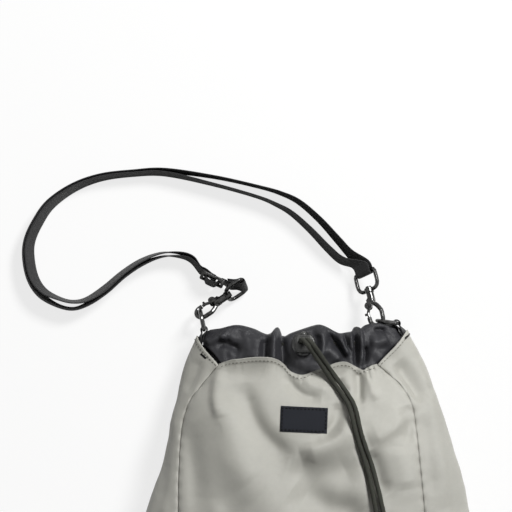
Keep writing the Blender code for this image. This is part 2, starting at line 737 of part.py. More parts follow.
def make_tab_and_ring(side, webbing, metal):
    place = TAB_SIDES[side]
    bar = np.array((*place["bar"], RING_LEVEL))
    foot = np.array((*place["foot"], RING_LEVEL))
    out = np.array((*place["ring"], 0.0)) / np.linalg.norm(place["ring"])
    along = (bar - foot) / np.linalg.norm(bar - foot)
    normal = np.array((along[1], -along[0], 0))
    leg = (WEBBING_THICK + TOUCH) / 2
    radius = RING_WIRE / 2 + TOUCH + WEBBING_THICK / 2
    neck = bar - along * 2.4 * radius
    points = [foot + normal * leg, neck + normal * leg]
    points += wrap(bar, (normal, along), -38, 218, radius, 13)
    points += [neck - normal * leg, foot - normal * leg]
    up = np.array((0, 0, 1.0))
    ribbon("tab_" + side, points, [up] * len(points), webbing)

    half = (RING_INNER + RING_WIRE) / 2
    corner = 0.0018
    outline = [(0, -half + corner), (0, 0), (0, half - corner)]
    bend = [(corner * (1 - math.cos(a)), half - corner * (1 - math.sin(a))) for a in np.radians((30, 60, 90))]
    outline += bend
    outline += [(RING_LEG + half * math.sin(a), half * math.cos(a)) for a in np.linspace(0, math.pi, 17)]
    outline += [(x, -z) for x, z in bend[::-1]]
    ring = tube("d_ring_" + side, [(x, 0, z) for x, z in outline], RING_WIRE / 2, closed=True)
    turn = Matrix.Rotation(math.atan2(out[1], out[0]), 4, "Z")
    add("d_ring_" + side, ring, metal, Matrix.Translation(bar) @ turn)


def hook_frame(side):
    """Frame of a hook: origin at the end of its bow, local Y along it, spine on local +X."""
    place = HOOK_SIDES[side]
    heading = Vector((*place["heading"], 0)).normalized()
    along = heading * math.cos(place["pitch"]) + Vector((0, 0, math.sin(place["pitch"])))
    level = frame_at((0, 0, 0), along, (0, 0, 1))
    tilted = level @ Matrix.Rotation(-place["roll"], 4, "Y")
    seat = ring_point(side, place["arc"])
    return Matrix.Translation(seat - tilted.to_3x3() @ Vector((0, WIRE_SEAT, 0))) @ tilted


def unite(made, place, solids, operation="UNION"):
    """Booleans of several meshes on one object, all in the same local frame."""
    for name, mesh in solids.items():
        join(made, add(name, mesh, matrix=place, cutter=True), operation)


def make_hook(side, metal, spring_finish):
    place = hook_frame(side)
    radius = HOOK_WIRE / 2
    reach = HOOK_INNER / 2 + radius
    bow = reach + radius
    spine = [
        (0.0, NECK_TOP - 0.004, 0), (0.0004, HOOK_EYE_TOP + 0.0045, 0), (0.0030, HOOK_EYE_TOP + 0.0012, 0),
        (reach, HOOK_EYE_TOP - 0.0035, 0), (reach, bow + 0.002, 0),
    ]
    path = route(spine, 0.0022).tolist() + arc((0, bow), reach, 0, -180, 13)
    path += [(-reach, bow + 0.002, 0), (-reach, BOW_TIP, 0)]
    body = add("hook_" + side, tube("hook_" + side, path, radius, sides=3), metal, place)

    post_top = NECK_TOP + TOUCH + BOSS_LENGTH + TOUCH
    rooted = 0.002                           # how far the post starts inside the neck
    unite(body, place, {
        "neck_solid": cylinder(NECK_RADIUS, NECK_TOP - BRIDGE_AT, (0, (NECK_TOP + BRIDGE_AT) / 2, 0), "Y"),
        "cheek_solid": cylinder(CHEEK_RADIUS, CHEEK_THICK, (*PIVOT, 0)),
        "bridge_solid": block((*BRIDGE, CHEEK_THICK), (-0.0008, BRIDGE_AT, 0), 0.0008),
        "post_solid": cylinder(
            POST_RADIUS, post_top - NECK_TOP + rooted, (0, (post_top + NECK_TOP) / 2, 0), "Y"),
        "head_solid": cylinder(HEAD_RADIUS, HEAD_THICK, (0, post_top + HEAD_THICK / 2, 0), "Y"),
    })
    unite(body, place, {
        "gate_slot_cutter": block((*SLOT_ROOM, GATE_SLOT), (PIVOT[0] - 0.0016, PIVOT[1] - 0.0011, 0)),
        "pin_bore_cutter": cylinder(PIN_RADIUS + TOUCH, 2 * CHEEK_THICK, (*PIVOT, 0), sides=16),
    }, "DIFFERENCE")

    hinge = place @ Matrix.Translation((*PIVOT, 0))
    tip = (-reach - PIVOT[0], BOW_TIP + TOUCH + 0.0002 - PIVOT[1])
    low = -GATE_SLOT / 2 + TOUCH
    room = 0.004
    lever = [(0, -0.0012, 0), (tip[0] * 0.5, -0.0034, 0), (tip[0], -0.0052, 0), (*tip, 0)]
    gate = add("gate_" + side, tube("gate_" + side, lever, GATE_WIRE / 2), metal, hinge)
    thumb_at = (tip[0] - GATE_WIRE / 2 - THUMB / 2 + 0.0006, -0.0062, 0)
    unite(gate, hinge, {
        "knuckle_solid": cylinder(KNUCKLE_RADIUS, KNUCKLE_HEIGHT, (0, 0, low + KNUCKLE_HEIGHT / 2), sides=20),
        "thumb_solid": cylinder(THUMB_RADIUS, THUMB, thumb_at, "X", sides=12),
    })
    unite(gate, hinge, {
        "knuckle_room_cutter": cylinder(
            KNUCKLE_RADIUS + TOUCH, room, (0, 0, low + KNUCKLE_HEIGHT + room / 2), sides=20),
        "knuckle_bore_cutter": cylinder(PIN_RADIUS + TOUCH, 0.01, (0, 0, 0), sides=16),
    }, "DIFFERENCE")
    add("gate_pin_" + side, cylinder(PIN_RADIUS, CHEEK_THICK, (0, 0, 0), sides=16), metal, hinge)

    turn_radius = PIN_RADIUS + TOUCH + 2 * GATE_SPRING_WIRE
    base = low + KNUCKLE_HEIGHT + TOUCH + GATE_SPRING_WIRE
    coil = [
        (turn_radius * math.cos(a), turn_radius * math.sin(a), base + GATE_SPRING_PITCH * a / (2 * math.pi))
        for a in np.linspace(0, 2 * math.pi * GATE_SPRING_TURNS, 16)
    ]
    spring = tube("gate_spring_" + side, coil, GATE_SPRING_WIRE, sides=1)
    add("gate_spring_" + side, spring, spring_finish, hinge)


def loop_frame(side):
    """Frame of a swivel loop: the hook's own, moved to the middle of the swivel."""
    swivel = Matrix.Translation((0, NECK_TOP + TOUCH + BOSS_LENGTH / 2, 0))
    return hook_frame(side) @ swivel @ Matrix.Rotation(LOOP_ROLL[side], 4, "Y")


def make_loop(side, metal):
    place = loop_frame(side)
    half = (LOOP_INNER + LOOP_WIRE) / 2
    right = [
        (0, LOOP_REACH, 0), (half - 0.0008, LOOP_REACH, 0), (half, LOOP_REACH - 0.0016, 0),
        (half, 0.0042, 0), (half * 0.72, 0.0006, 0), (BOSS_RADIUS - 0.0010, 0, 0),
    ]
    left = [(-x, y, z) for x, y, z in right[:0:-1]]
    path = route(left + right, 0.0030)
    loop = add("swivel_loop_" + side, tube("swivel_loop_" + side, path, LOOP_WIRE / 2), metal, place)
    unite(loop, place, {"boss_solid": cylinder(BOSS_RADIUS, BOSS_LENGTH, (0, 0, 0), "Y")})
    bore = cylinder(POST_RADIUS + TOUCH, 0.01, (0, 0, 0), "Y", sides=20)
    unite(loop, place, {"swivel_bore_cutter": bore}, "DIFFERENCE")


# ---------------------------------------------------------------- strap and slider

def slider_frame():
    """Frame of the slider: local Y along the strap, local Z out of the strap's arc, local X up the webbing."""
    along = Vector((*SLIDER_ALONG, 0)).normalized()
    outward = Vector((-along.y, along.x, 0))
    lean = outward * math.cos(SLIDER_LEAN) - Vector((0, 0, math.sin(SLIDER_LEAN)))
    return frame_at(SLIDER_AT, along, lean)


def make_slider(metal):
    place = slider_frame()
    tall = WEBBING + 2 * (TOUCH + SLIDER_SIDE)
    made = add("slider", block((tall, SLIDER_LENGTH, SLIDER_THICK), (0, 0, 0), 0.0006), metal, place)
    slot_long = (SLIDER_LENGTH - 3 * SLIDER_BAR) / 2
    for sign in (-1, 1):
        centre = (0, sign * (SLIDER_BAR + slot_long) / 2, 0)
        slot = block((WEBBING + 2 * TOUCH, slot_long, 4 * SLIDER_THICK), centre)
        join(made, add("slider_slot_cutter", slot, matrix=place, cutter=True), "DIFFERENCE")


def strap_line():
    """Middle line and width directions of the whole strap, from the left hook's loop to the slider's bar."""
    points, widths = [], []

    def put(spots, direction):
        for spot in spots:
            points.append(np.array(spot, float))
            widths.append(np.array(direction, float))

    # round the left loop's bar, with its end folded back
    left = loop_frame("left")
    bar = np.array(left @ Vector((0, LOOP_REACH, 0)))
    across = np.array(left.to_3x3() @ Vector((1, 0, 0)))
    if across[2] < 0:
        across = -across
    slider = slider_frame()
    slide_to = np.array(slider @ Vector((0, 0.0135, 0.0022)))
    toward = slide_to - bar
    toward -= across * toward.dot(across)
    toward /= np.linalg.norm(toward)
    beside = np.cross(across, toward)
    radius = LOOP_WIRE / 2 + TOUCH + WEBBING_THICK / 2
    flat = (WEBBING_THICK + TOUCH) / 2
    near = bar + toward * 2.3 * radius
    far = bar + toward * FOLD_BACK
    apart = beside * (flat + 0.0002)
    put([far - apart, near - beside * flat], across)
    put(wrap(bar, (-toward, beside), -128, 128, radius, 9), across)
    put([near + beside * flat, far + apart], across)

    # over the slider's end bars and under its middle bar, where the other end is sewn
    up = np.array(slider.to_3x3() @ Vector((1, 0, 0)))
    if up[2] < 0:
        up = -up
    ride = SLIDER_THICK / 2 + TOUCH + WEBBING_THICK / 2
    under = ride + WEBBING_THICK + TOUCH
    weave = [
        (0.0112, ride), (0.0086, ride), (0.0070, ride - 0.0001), (0.0059, ride - 0.0010),
        (0.0052, -0.0006), (0.0045, -0.0022), (0.0034, -under + 0.0002), (0.0020, -under),
    ]
    for s, n in [*weave, (0.0, -under), *((-s, n) for s, n in weave[::-1])]:
        put([slider @ Vector((0, s, n))], up)

    # the arc on the surface, outer layer first and inner layer back
    arc_points = np.array([(x, y) for x, y, _, _ in STRAP])
    tangent = np.gradient(arc_points, axis=0)
    tangent /= np.linalg.norm(tangent, axis=1)[:, None]
    out = np.stack([-tangent[:, 1], tangent[:, 0]], axis=1)
    rows = []
    for (x, y, lean, inward), o in zip(STRAP, out):
        lean = math.radians(lean)
        width = np.array((o[0] * math.sin(lean), o[1] * math.sin(lean), math.cos(lean)))
        edge = WEBBING / 2 * abs(math.sin(lean)) + WEBBING_THICK / 2
        rows.append((np.array((x, y)) - o * edge, o, width, inward))
    for spot, _, width, _ in rows:
        put([(spot[0], spot[1], STRAP_LEVEL)], width)

    # round the right loop's bar
    right = loop_frame("right")
    bar = np.array(right @ Vector((0, LOOP_REACH, 0)))
    across = np.array(right.to_3x3() @ Vector((1, 0, 0)))
    if across[2] < 0:
        across = -across
    toward = points[-1] - np.array((*(rows[-1][1] * rows[-1][3] / 2), 0)) - bar
    toward -= across * toward.dot(across)
    toward /= np.linalg.norm(toward)
    beside = np.cross(across, toward)
    if beside.dot(np.array((*rows[-1][1], 0))) < 0:
        beside = -beside
    put([bar + toward * 0.0075 + beside * 0.0022], across)
    put(wrap(bar, (-toward, beside), 100, -100, radius, 9), across)
    put([bar + toward * 0.0075 - beside * 0.0022], across)
    for spot, o, width, inward in rows[::-1]:
        inner = spot - o * inward
        put([(inner[0], inner[1], STRAP_LEVEL)], width)

    # back to the slider: round its middle bar
    hold = ride
    second = ride + WEBBING_THICK + TOUCH
    for s, n in ((-0.0130, second + 0.0005), (-0.0085, second + 0.0002), (-0.0060, second - 0.0003),
                 (-0.0036, ride + 0.0005), (-0.0012, hold)):
        put([slider @ Vector((0, s, n))], up)
    for a in (70, 30, 0, -30, -70):
        r = math.radians(a)
        put([slider @ Vector((0, 0.0006 + hold * math.cos(r), hold * math.sin(r)))], up)
    put([slider @ Vector((0, -0.0012, -hold))], up)
    return points, widths


def make_strap(webbing):
    points, widths = strap_line()
    both = np.hstack([np.array(points), np.array(widths)])
    fine = route(both, 0.0075)
    widths = fine[:, 3:] / np.linalg.norm(fine[:, 3:], axis=1)[:, None]
    ribbon("strap_webbing", fine[:, :3], widths, webbing)


# ---------------------------------------------------------------- the whole bag

for old in list(bpy.data.objects):
    bpy.data.objects.remove(old)
parts = bpy.data.collections.new("drawstring_shoulder_bag")
cutters = bpy.data.collections.new("cutters")
bpy.context.scene.collection.children.link(parts)
bpy.context.scene.collection.children.link(cutters)

NYLON = material("grey nylon", (0.42, 0.41, 0.37), 0.45)
LINING = material("black nylon", (0.018, 0.018, 0.020), 0.5)
CORDING = material("olive black cord", (0.040, 0.042, 0.036), 0.7)
WOVEN = material("navy label", (0.022, 0.025, 0.034), 0.8)
STRAPPING = material("black webbing", (0.016, 0.016, 0.016), 0.6)
GUNMETAL = material("black metal", (0.03, 0.03, 0.03), 0.3, 0.8)
SPRING = material("spring steel", (0.4, 0.4, 0.4), 0.3, 1.0)
PLASTIC = material("black plastic", (0.02, 0.02, 0.02), 0.35)

make_body(NYLON)
make_collar(LINING)
make_eyelet(GUNMETAL)
make_drawcord(CORDING)
make_lock(PLASTIC, SPRING)
make_label(WOVEN)
for hand in ("left", "right"):
    make_tab_and_ring(hand, STRAPPING, GUNMETAL)
    make_hook(hand, GUNMETAL, SPRING)
    make_loop(hand, GUNMETAL)
make_slider(GUNMETAL)
make_strap(STRAPPING)
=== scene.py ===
# Drawstring shoulder bag lying on its back: grey nylon body, black gathered collar, clip-on webbing strap.
import json
import math
import bpy
import numpy as np
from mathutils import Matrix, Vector
from mathutils.bvhtree import BVHTree

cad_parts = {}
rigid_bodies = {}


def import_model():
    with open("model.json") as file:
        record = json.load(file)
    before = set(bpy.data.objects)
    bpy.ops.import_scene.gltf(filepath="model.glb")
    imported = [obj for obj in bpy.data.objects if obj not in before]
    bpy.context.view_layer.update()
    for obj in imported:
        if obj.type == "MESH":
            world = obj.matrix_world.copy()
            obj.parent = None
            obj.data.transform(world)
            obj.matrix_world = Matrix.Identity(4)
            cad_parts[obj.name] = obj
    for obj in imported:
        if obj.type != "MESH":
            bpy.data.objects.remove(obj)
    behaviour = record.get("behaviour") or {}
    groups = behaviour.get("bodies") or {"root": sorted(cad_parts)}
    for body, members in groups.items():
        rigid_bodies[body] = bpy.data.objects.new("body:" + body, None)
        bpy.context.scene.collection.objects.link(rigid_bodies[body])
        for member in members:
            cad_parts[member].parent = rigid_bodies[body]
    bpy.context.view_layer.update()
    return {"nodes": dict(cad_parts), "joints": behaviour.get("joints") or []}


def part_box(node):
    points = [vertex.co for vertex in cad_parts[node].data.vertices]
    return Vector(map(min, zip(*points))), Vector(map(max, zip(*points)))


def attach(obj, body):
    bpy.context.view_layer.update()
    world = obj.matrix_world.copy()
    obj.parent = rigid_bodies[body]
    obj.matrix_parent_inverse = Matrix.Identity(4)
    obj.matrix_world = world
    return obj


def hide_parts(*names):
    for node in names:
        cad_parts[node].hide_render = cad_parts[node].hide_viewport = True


for leftover in list(bpy.data.objects):
    bpy.data.objects.remove(leftover)
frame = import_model()
nodes = frame["nodes"]
joints = {j["name"]: j for j in frame["joints"]}
mm = 0.001  # folds, the hem's line and the collar's top edge are written in millimetres


def linear(code):
    # sRGB hex to linear: c / 12.92 below 0.04045, else ((c + 0.055) / 1.055) ^ 2.4
    c = np.array([int(code[i:i + 2], 16) for i in (0, 2, 4)]) / 255
    c = np.where(c <= 0.04045, c / 12.92, ((c + 0.055) / 1.055) ** 2.4)
    return (*c.tolist(), 1.0)


def fillNode(tree, node, settings=None, links=None):
    # "stops" are a colour ramp's, a name or number of an input sets that input, any other name sets the node
    for name, value in (settings or {}).items():
        if name == "stops":
            for element, (place, colour) in zip(node.color_ramp.elements, value):
                element.position = place
                element.color = colour
        elif isinstance(name, int) or name in node.inputs:
            node.inputs[name].default_value = value
        else:
            setattr(node, name, value)
    for name, source in (links or {}).items():
        tree.links.new(source, node.inputs[name])
    return node


def addNode(tree, kind, settings=None, links=None):
    return fillNode(tree, tree.nodes.new(kind), settings, links)


def newMaterial(name):
    made = bpy.data.materials.new(name)
    made.use_nodes = True
    tree = made.node_tree
    return made, tree, tree.nodes["Principled BSDF"]


def bandScale(width):
    # bands repeat every 0.314 / Scale metres, so these stand 0.63 of the given width apart
    return 1 / width / 2


def curveThrough(table, at, column=1):
    # cubic Hermite through the rows of a table, its slope at a row taken from the rows beside it
    table = np.asarray(table, float)
    xs, ys = table[:, 0], table[:, column]
    slopes = np.empty(len(xs))
    slopes[1:-1] = (ys[2:] - ys[:-2]) / (xs[2:] - xs[:-2])
    slopes[0] = (ys[1] - ys[0]) / (xs[1] - xs[0])
    slopes[-1] = (ys[-1] - ys[-2]) / (xs[-1] - xs[-2])
    at = np.clip(np.asarray(at, float), xs[0], xs[-1])
    i = np.clip(np.searchsorted(xs, at, side="right") - 1, 0, len(xs) - 2)
    step = xs[i + 1] - xs[i]
    t = (at - xs[i]) / step
    return ((2 * t**3 - 3 * t**2 + 1) * ys[i] + (t**3 - 2 * t**2 + t) * step * slopes[i]
            + (3 * t**2 - 2 * t**3) * ys[i + 1] + (t**3 - t**2) * step * slopes[i + 1])


def route(points, spacing):
    # Catmull-Rom curve through the points: each span between b and c uses its neighbours a and d
    points = np.array(points, float)
    ends = np.vstack([2 * points[0] - points[1], points, 2 * points[-1] - points[-2]])
    found = []
    for a, b, c, d in zip(ends[:-3], ends[1:-2], ends[2:-1], ends[3:]):
        count = max(1, round(float(np.linalg.norm((c - b)[:3])) / spacing))
        t = (np.arange(count) / count)[:, None]
        found.append(0.5 * (2 * b + (c - a) * t + (2 * a - 5 * b + 4 * c - d) * t**2
                            + (3 * b - a - 3 * c + d) * t**3))
    return np.vstack([*found, points[-1:]])


def unit(v):
    # each vector over its own length
    v = np.asarray(v, float)
    return v / np.maximum(np.linalg.norm(v, axis=-1, keepdims=True), 1e-12)


def pathLengths(points):
    # distance along the path at each of its points
    return np.concatenate([[0], np.cumsum(np.linalg.norm(np.diff(points, axis=0), axis=1))])


def gridFaces(rows, columns, around=False):
    # quads between neighbouring rows and columns; around joins the last column to the first
    i = np.arange(rows - 1)[:, None]
    j = np.arange(columns if around else columns - 1)[None, :]
    beside = (j + 1) % columns
    corners = [i * columns + j, i * columns + beside, (i + 1) * columns + beside, (i + 1) * columns + j]
    return np.stack(corners, -1).reshape(-1, 4)


def gridNormals(points):
    # across the grid times up the grid
    return unit(np.cross(np.gradient(points, axis=1), np.gradient(points, axis=0)))


def gridUv(points):
    # real distances along the rows, from the middle column, and along the columns, in metres
    rows, columns = points.shape[:2]
    stepAcross = np.linalg.norm(np.diff(points, axis=1), axis=2)
    stepUp = np.linalg.norm(np.diff(points, axis=0), axis=2)
    across = np.hstack([np.zeros((rows, 1)), np.cumsum(stepAcross, axis=1)])
    up = np.vstack([np.zeros((1, columns)), np.cumsum(stepUp, axis=0)])
    middle = columns // 2
    return np.stack([across - across[:, middle:middle + 1], up], -1)


def meshObject(name, points, faces, uv=None, materials=(), smooth=True):
    # uv has one pair for each point, in metres
    mesh = bpy.data.meshes.new(name)
    mesh.from_pydata(np.asarray(points, float).reshape(-1, 3).tolist(), [], [list(f) for f in faces])
    if uv is not None:
        layer = mesh.uv_layers.new(name="cloth")
        corners = np.empty(len(mesh.loops), np.int32)
        mesh.loops.foreach_get("vertex_index", corners)
        layer.data.foreach_set("uv", np.asarray(uv, float).reshape(-1, 2)[corners].ravel())
    for finish in materials:
        mesh.materials.append(finish)
    mesh.polygons.foreach_set("use_smooth", np.full(len(mesh.polygons), smooth))
    mesh.update()
    made = bpy.data.objects.new(name, mesh)
    bpy.context.scene.collection.objects.link(made)
    return made


def thicken(made, thickness):
    # the cloth's wall grows inwards from the surface
    solid = made.modifiers.new("thickness", "SOLIDIFY")
    solid.thickness = thickness
    solid.offset = -1.0
    solid.use_even_offset = False
    return made


def clothPanel(name, points, finish, thickness, flip=False):
    # flip turns the faces of a grid whose columns run the other way round
    faces = gridFaces(*points.shape[:2])
    if flip:
        faces = faces[:, ::-1]
    return thicken(meshObject(name, points, faces, gridUv(points), [finish]), thickness)


def softWaves(x, y, length, seed, count=9):
    # sum of sine waves of about this length in every direction, from -1 to 1
    rng = np.random.default_rng(seed)
    total = np.zeros(np.broadcast(x, y).shape)
    for _ in range(count):
        a = rng.uniform(0, 2 * np.pi)
        k = 2 * np.pi / (length * rng.uniform(0.7, 1.5))
        total += np.sin(k * (x * math.cos(a) + y * math.sin(a)) + rng.uniform(0, 2 * np.pi))
    return total / count * 1.8


def foldField(x, y, folds):
    # sum of height * exp(-(distance / width)^2) over the folds, which fade at their ends: each has a path,
    # a height, a width on its left and a width on its right
    total = np.zeros(np.broadcast(x, y).shape)
    spot = np.stack(np.broadcast_arrays(x, y), -1)
    for path, height, leftWidth, rightWidth in folds:
        line = route(np.array([(*p, 0.0) for p in path]) * mm, 3 * mm)[:, :2]
        best = np.full(total.shape, 1e9)
        signed = np.zeros(total.shape)
        place = np.zeros(total.shape)
        for i, (a, b) in enumerate(zip(line[:-1], line[1:])):
            ab = b - a
            t = np.clip(((spot - a) @ ab) / (ab @ ab), 0, 1)
            off = spot - (a + t[..., None] * ab)
            d = np.hypot(off[..., 0], off[..., 1])
            near = d < best
            best = np.where(near, d, best)
            cross = ab[0] * off[..., 1] - ab[1] * off[..., 0]
            signed = np.where(near, np.sign(cross), signed)
            place = np.where(near, (i + t) / (len(line) - 1), place)
        width = np.where(signed > 0, leftWidth, rightWidth) * mm
        taper = np.clip(np.sin(np.pi * np.clip(place, 0.04, 0.96)) * 1.6, 0, 1)
        total += height * mm * taper * np.exp(-(best / width) ** 2)
    return total


studio = {
    "cameraAt": (-0.0392, 0.2192, 2.0), "seenWidth": 0.4096, "sensor": 36, "farClip": 20,
    # lamp: place, size in metres, power in watts
    "lamps": {"key": ((0.92, 1.42, 1.55), 0.6, 58.0), "fill": ((-1.2, -0.2, 1.9), 1.8, 1.5)},
    "lampAim": (0.0, 0.1, 0.0), "skyLight": 0.13,
    "paper": "f6f6f5", "paperGlow": 0.78, "floorHalf": 4, "floorLevel": -0.0002,
}


def makeCamera():
    # straight above: the lens sees seenWidth at the floor
    camera = bpy.data.objects.new("camera", bpy.data.cameras.new("camera"))
    bpy.context.scene.collection.objects.link(camera)
    camera.location = studio["cameraAt"]
    camera.data.sensor_width = studio["sensor"]
    camera.data.lens = studio["sensor"] * studio["cameraAt"][2] / studio["seenWidth"]
    camera.data.clip_end = studio["farClip"]
    bpy.context.scene.camera = camera


def makeLights():
    for name, (place, size, power) in studio["lamps"].items():
        lamp = bpy.data.lights.new(name, "AREA")
        lamp.size = size
        lamp.energy = power
        holder = bpy.data.objects.new(name, lamp)
        bpy.context.scene.collection.objects.link(holder)
        holder.location = place
        aim = Vector(studio["lampAim"]) - Vector(place)
        holder.rotation_euler = aim.to_track_quat("-Z", "Y").to_euler()

    # the sky is white to the camera and in reflections, and weak as a light
    world = bpy.data.worlds.new("studio")
    world.use_nodes = True
    bpy.context.scene.world = world
    tree = world.node_tree
    rays = addNode(tree, "ShaderNodeLightPath")
    seen = addNode(tree, "ShaderNodeMath", {"operation": "MAXIMUM"},
                   {0: rays.outputs["Is Camera Ray"], 1: rays.outputs["Is Glossy Ray"]})
    strength = addNode(tree, "ShaderNodeMapRange", {"To Min": studio["skyLight"], "To Max": 1.0},
                       {"Value": seen.outputs["Value"]})
    fillNode(tree, tree.nodes["Background"], {"Color": linear("ffffff")},
             {"Strength": strength.outputs["Result"]})


def makeFloor():
    # white paper: matt, with a faint grain, partly self-lit to the camera so that shadows on it stay light
    finish, tree, shader = newMaterial("white_paper_floor")
    grain = addNode(tree, "ShaderNodeTexNoise", {"Scale": 900.0, "Detail": 2.0})
    bump = addNode(tree, "ShaderNodeBump", {"Strength": 0.05, "Distance": 0.0002},
                   {"Height": grain.outputs["Fac"]})
    fillNode(tree, shader, {"Base Color": linear(studio["paper"]), "Roughness": 0.9},
             {"Normal": bump.outputs["Normal"]})
    rays = addNode(tree, "ShaderNodeLightPath")
    share = addNode(tree, "ShaderNodeMath", {"operation": "MULTIPLY", 1: studio["paperGlow"]},
                    {0: rays.outputs["Is Camera Ray"]})
    glow = addNode(tree, "ShaderNodeEmission", {"Color": linear("ffffff"), "Strength": 1.0})
    mix = addNode(tree, "ShaderNodeMixShader", None,
                  {0: share.outputs["Value"], 1: shader.outputs["BSDF"], 2: glow.outputs["Emission"]})
    fillNode(tree, tree.nodes["Material Output"], None, {"Surface": mix.outputs["Shader"]})
    half, level = studio["floorHalf"], studio["floorLevel"]
    corners = [(-half, -half, level), (half, -half, level), (half, half, level), (-half, half, level)]
    floor = meshObject("floor", corners, [(0, 1, 2, 3)], None, [finish], False)
    bpy.context.scene.view_settings.view_transform = "Standard"


nylons = {
    # colours, width of the thread bands, roughness, sheen, shine and depth of the threads
    "grey_nylon_twill": {"light": "aaa9a1", "dark": "9d9c95", "weave": 0.00045, "roughness": 0.42,
                         "sheen": 0.04, "shine": 0.4, "depth": 0.0002},
    "black_nylon_lining": {"light": "313134", "dark": "242427", "weave": 0.0004, "roughness": 0.36,
                           "sheen": 0.02, "shine": 0.22, "depth": 0.00015},
}


def nylonMaterial(name):
    # woven nylon: threads that cross 0.28 or 0.25 mm apart, a slow mottling, small creases and a satin sheen
    look = nylons[name]
    made, tree, shader = newMaterial(name)
    uv = addNode(tree, "ShaderNodeUVMap", {"uv_map": "cloth"})
    place = addNode(tree, "ShaderNodeTexCoord")
    scale = bandScale(look["weave"])
    warp, weft = (
        addNode(tree, "ShaderNodeTexWave",
                {"bands_direction": direction, "Scale": scale, "Distortion": 0.6, "Detail": 1.0},
                {"Vector": uv.outputs["UV"]}) for direction in ("X", "Y"))
    threads = addNode(tree, "ShaderNodeMath", {"operation": "MULTIPLY"},
                      {0: warp.outputs["Fac"], 1: weft.outputs["Fac"]})
    cloud, fine, creases = (
        addNode(tree, "ShaderNodeTexNoise", {"Scale": scale, "Detail": detail, "Roughness": broken},
                {"Vector": place.outputs["Object"]})
        for scale, detail, broken in ((14.0, 4.0, 0.5), (260.0, 2.0, 0.5), (55.0, 3.0, 0.55)))
    mixed = addNode(tree, "ShaderNodeMath", {"operation": "MULTIPLY_ADD", 1: 0.35},
                    {0: fine.outputs["Fac"], 2: cloud.outputs["Fac"]})
    tint = addNode(tree, "ShaderNodeValToRGB",
                   {"stops": [(0.3, linear(look["dark"])), (0.95, linear(look["light"]))]},
                   {"Fac": mixed.outputs["Value"]})
    rough = addNode(tree, "ShaderNodeMapRange",
                    {"To Min": look["roughness"] + 0.08, "To Max": look["roughness"] - 0.06},
                    {"Value": cloud.outputs["Fac"]})
    grain = addNode(tree, "ShaderNodeBump", {"Strength": 0.35, "Distance": look["depth"]},
                    {"Height": threads.outputs["Value"]})
    bump = addNode(tree, "ShaderNodeBump", {"Strength": 0.25, "Distance": 0.0006},
                   {"Height": creases.outputs["Fac"], "Normal": grain.outputs["Normal"]})
    fillNode(tree, shader,
             {"Sheen Weight": look["sheen"], "Sheen Roughness": 0.5, "Specular IOR Level": look["shine"]},
             {"Base Color": tint.outputs["Color"], "Roughness": rough.outputs["Result"],
              "Normal": bump.outputs["Normal"]})
    return made


def webbingMaterial():
    # woven black webbing: slanting ribs 0.7 mm apart, broken into rows 1 mm apart, dull with a slight shine
    made, tree, shader = newMaterial("black_webbing")
    uv = addNode(tree, "ShaderNodeUVMap", {"uv_map": "cloth"})
    split = addNode(tree, "ShaderNodeSeparateXYZ", None, {"Vector": uv.outputs["UV"]})
    across = addNode(tree, "ShaderNodeMath", {"operation": "PINGPONG", 1: 0.0008}, {0: split.outputs["Y"]})
    shifted = addNode(tree, "ShaderNodeMath", {"operation": "ADD"},
                      {0: split.outputs["X"], 1: across.outputs["Value"]})
    packed = addNode(tree, "ShaderNodeCombineXYZ", None,
                     {"X": shifted.outputs["Value"], "Y": split.outputs["Y"]})
    rib, row = (
        addNode(tree, "ShaderNodeTexWave",
                {"bands_direction": direction, "Scale": bandScale(width), "Detail": 0.0},
                {"Vector": packed.outputs["Vector"]}) for direction, width in (("X", 0.0011), ("Y", 0.0016)))
    height = addNode(tree, "ShaderNodeMath", {"operation": "MULTIPLY_ADD", 1: 0.5},
                     {0: row.outputs["Fac"], 2: rib.outputs["Fac"]})
    tint = addNode(tree, "ShaderNodeValToRGB", {"stops": [(0.1, linear("141414")), (1.0, linear("2f2f30"))]},
                   {"Fac": height.outputs["Value"]})
    bump = addNode(tree, "ShaderNodeBump", {"Strength": 0.6, "Distance": 0.0003},
                   {"Height": height.outputs["Value"]})
    fillNode(tree, shader, {"Roughness": 0.45, "Sheen Weight": 0.02, "Specular IOR Level": 0.2},
             {"Base Color": tint.outputs["Color"], "Normal": bump.outputs["Normal"]})
    return made


def cordMaterial():
    # round braid in olive charcoal: two sets of strands 0.75 mm apart that lean 34 degrees to each side
    made, tree, shader = newMaterial("braided_cord")
    uv = addNode(tree, "ShaderNodeUVMap", {"uv_map": "cloth"})
    strands = []
    for lean in (0.6, -0.6):
        turned = addNode(tree, "ShaderNodeMapping", {"Rotation": (0, 0, lean)}, {"Vector": uv.outputs["UV"]})
        strands.append(addNode(tree, "ShaderNodeTexWave",
                               {"bands_direction": "X", "Scale": bandScale(0.0012)},
                               {"Vector": turned.outputs["Vector"]}))
    height = addNode(tree, "ShaderNodeMath", {"operation": "MAXIMUM"},
                     {0: strands[0].outputs["Fac"], 1: strands[1].outputs["Fac"]})
    tint = addNode(tree, "ShaderNodeValToRGB", {"stops": [(0.2, linear("1b1b17")), (1.0, linear("3c3d36"))]},
                   {"Fac": height.outputs["Value"]})
    bump = addNode(tree, "ShaderNodeBump", {"Strength": 0.7, "Distance": 0.0003},
                   {"Height": height.outputs["Value"]})
    fillNode(tree, shader, {"Roughness": 0.7, "Sheen Weight": 0.03, "Specular IOR Level": 0.2},
             {"Base Color": tint.outputs["Color"], "Normal": bump.outputs["Normal"]})
    return made


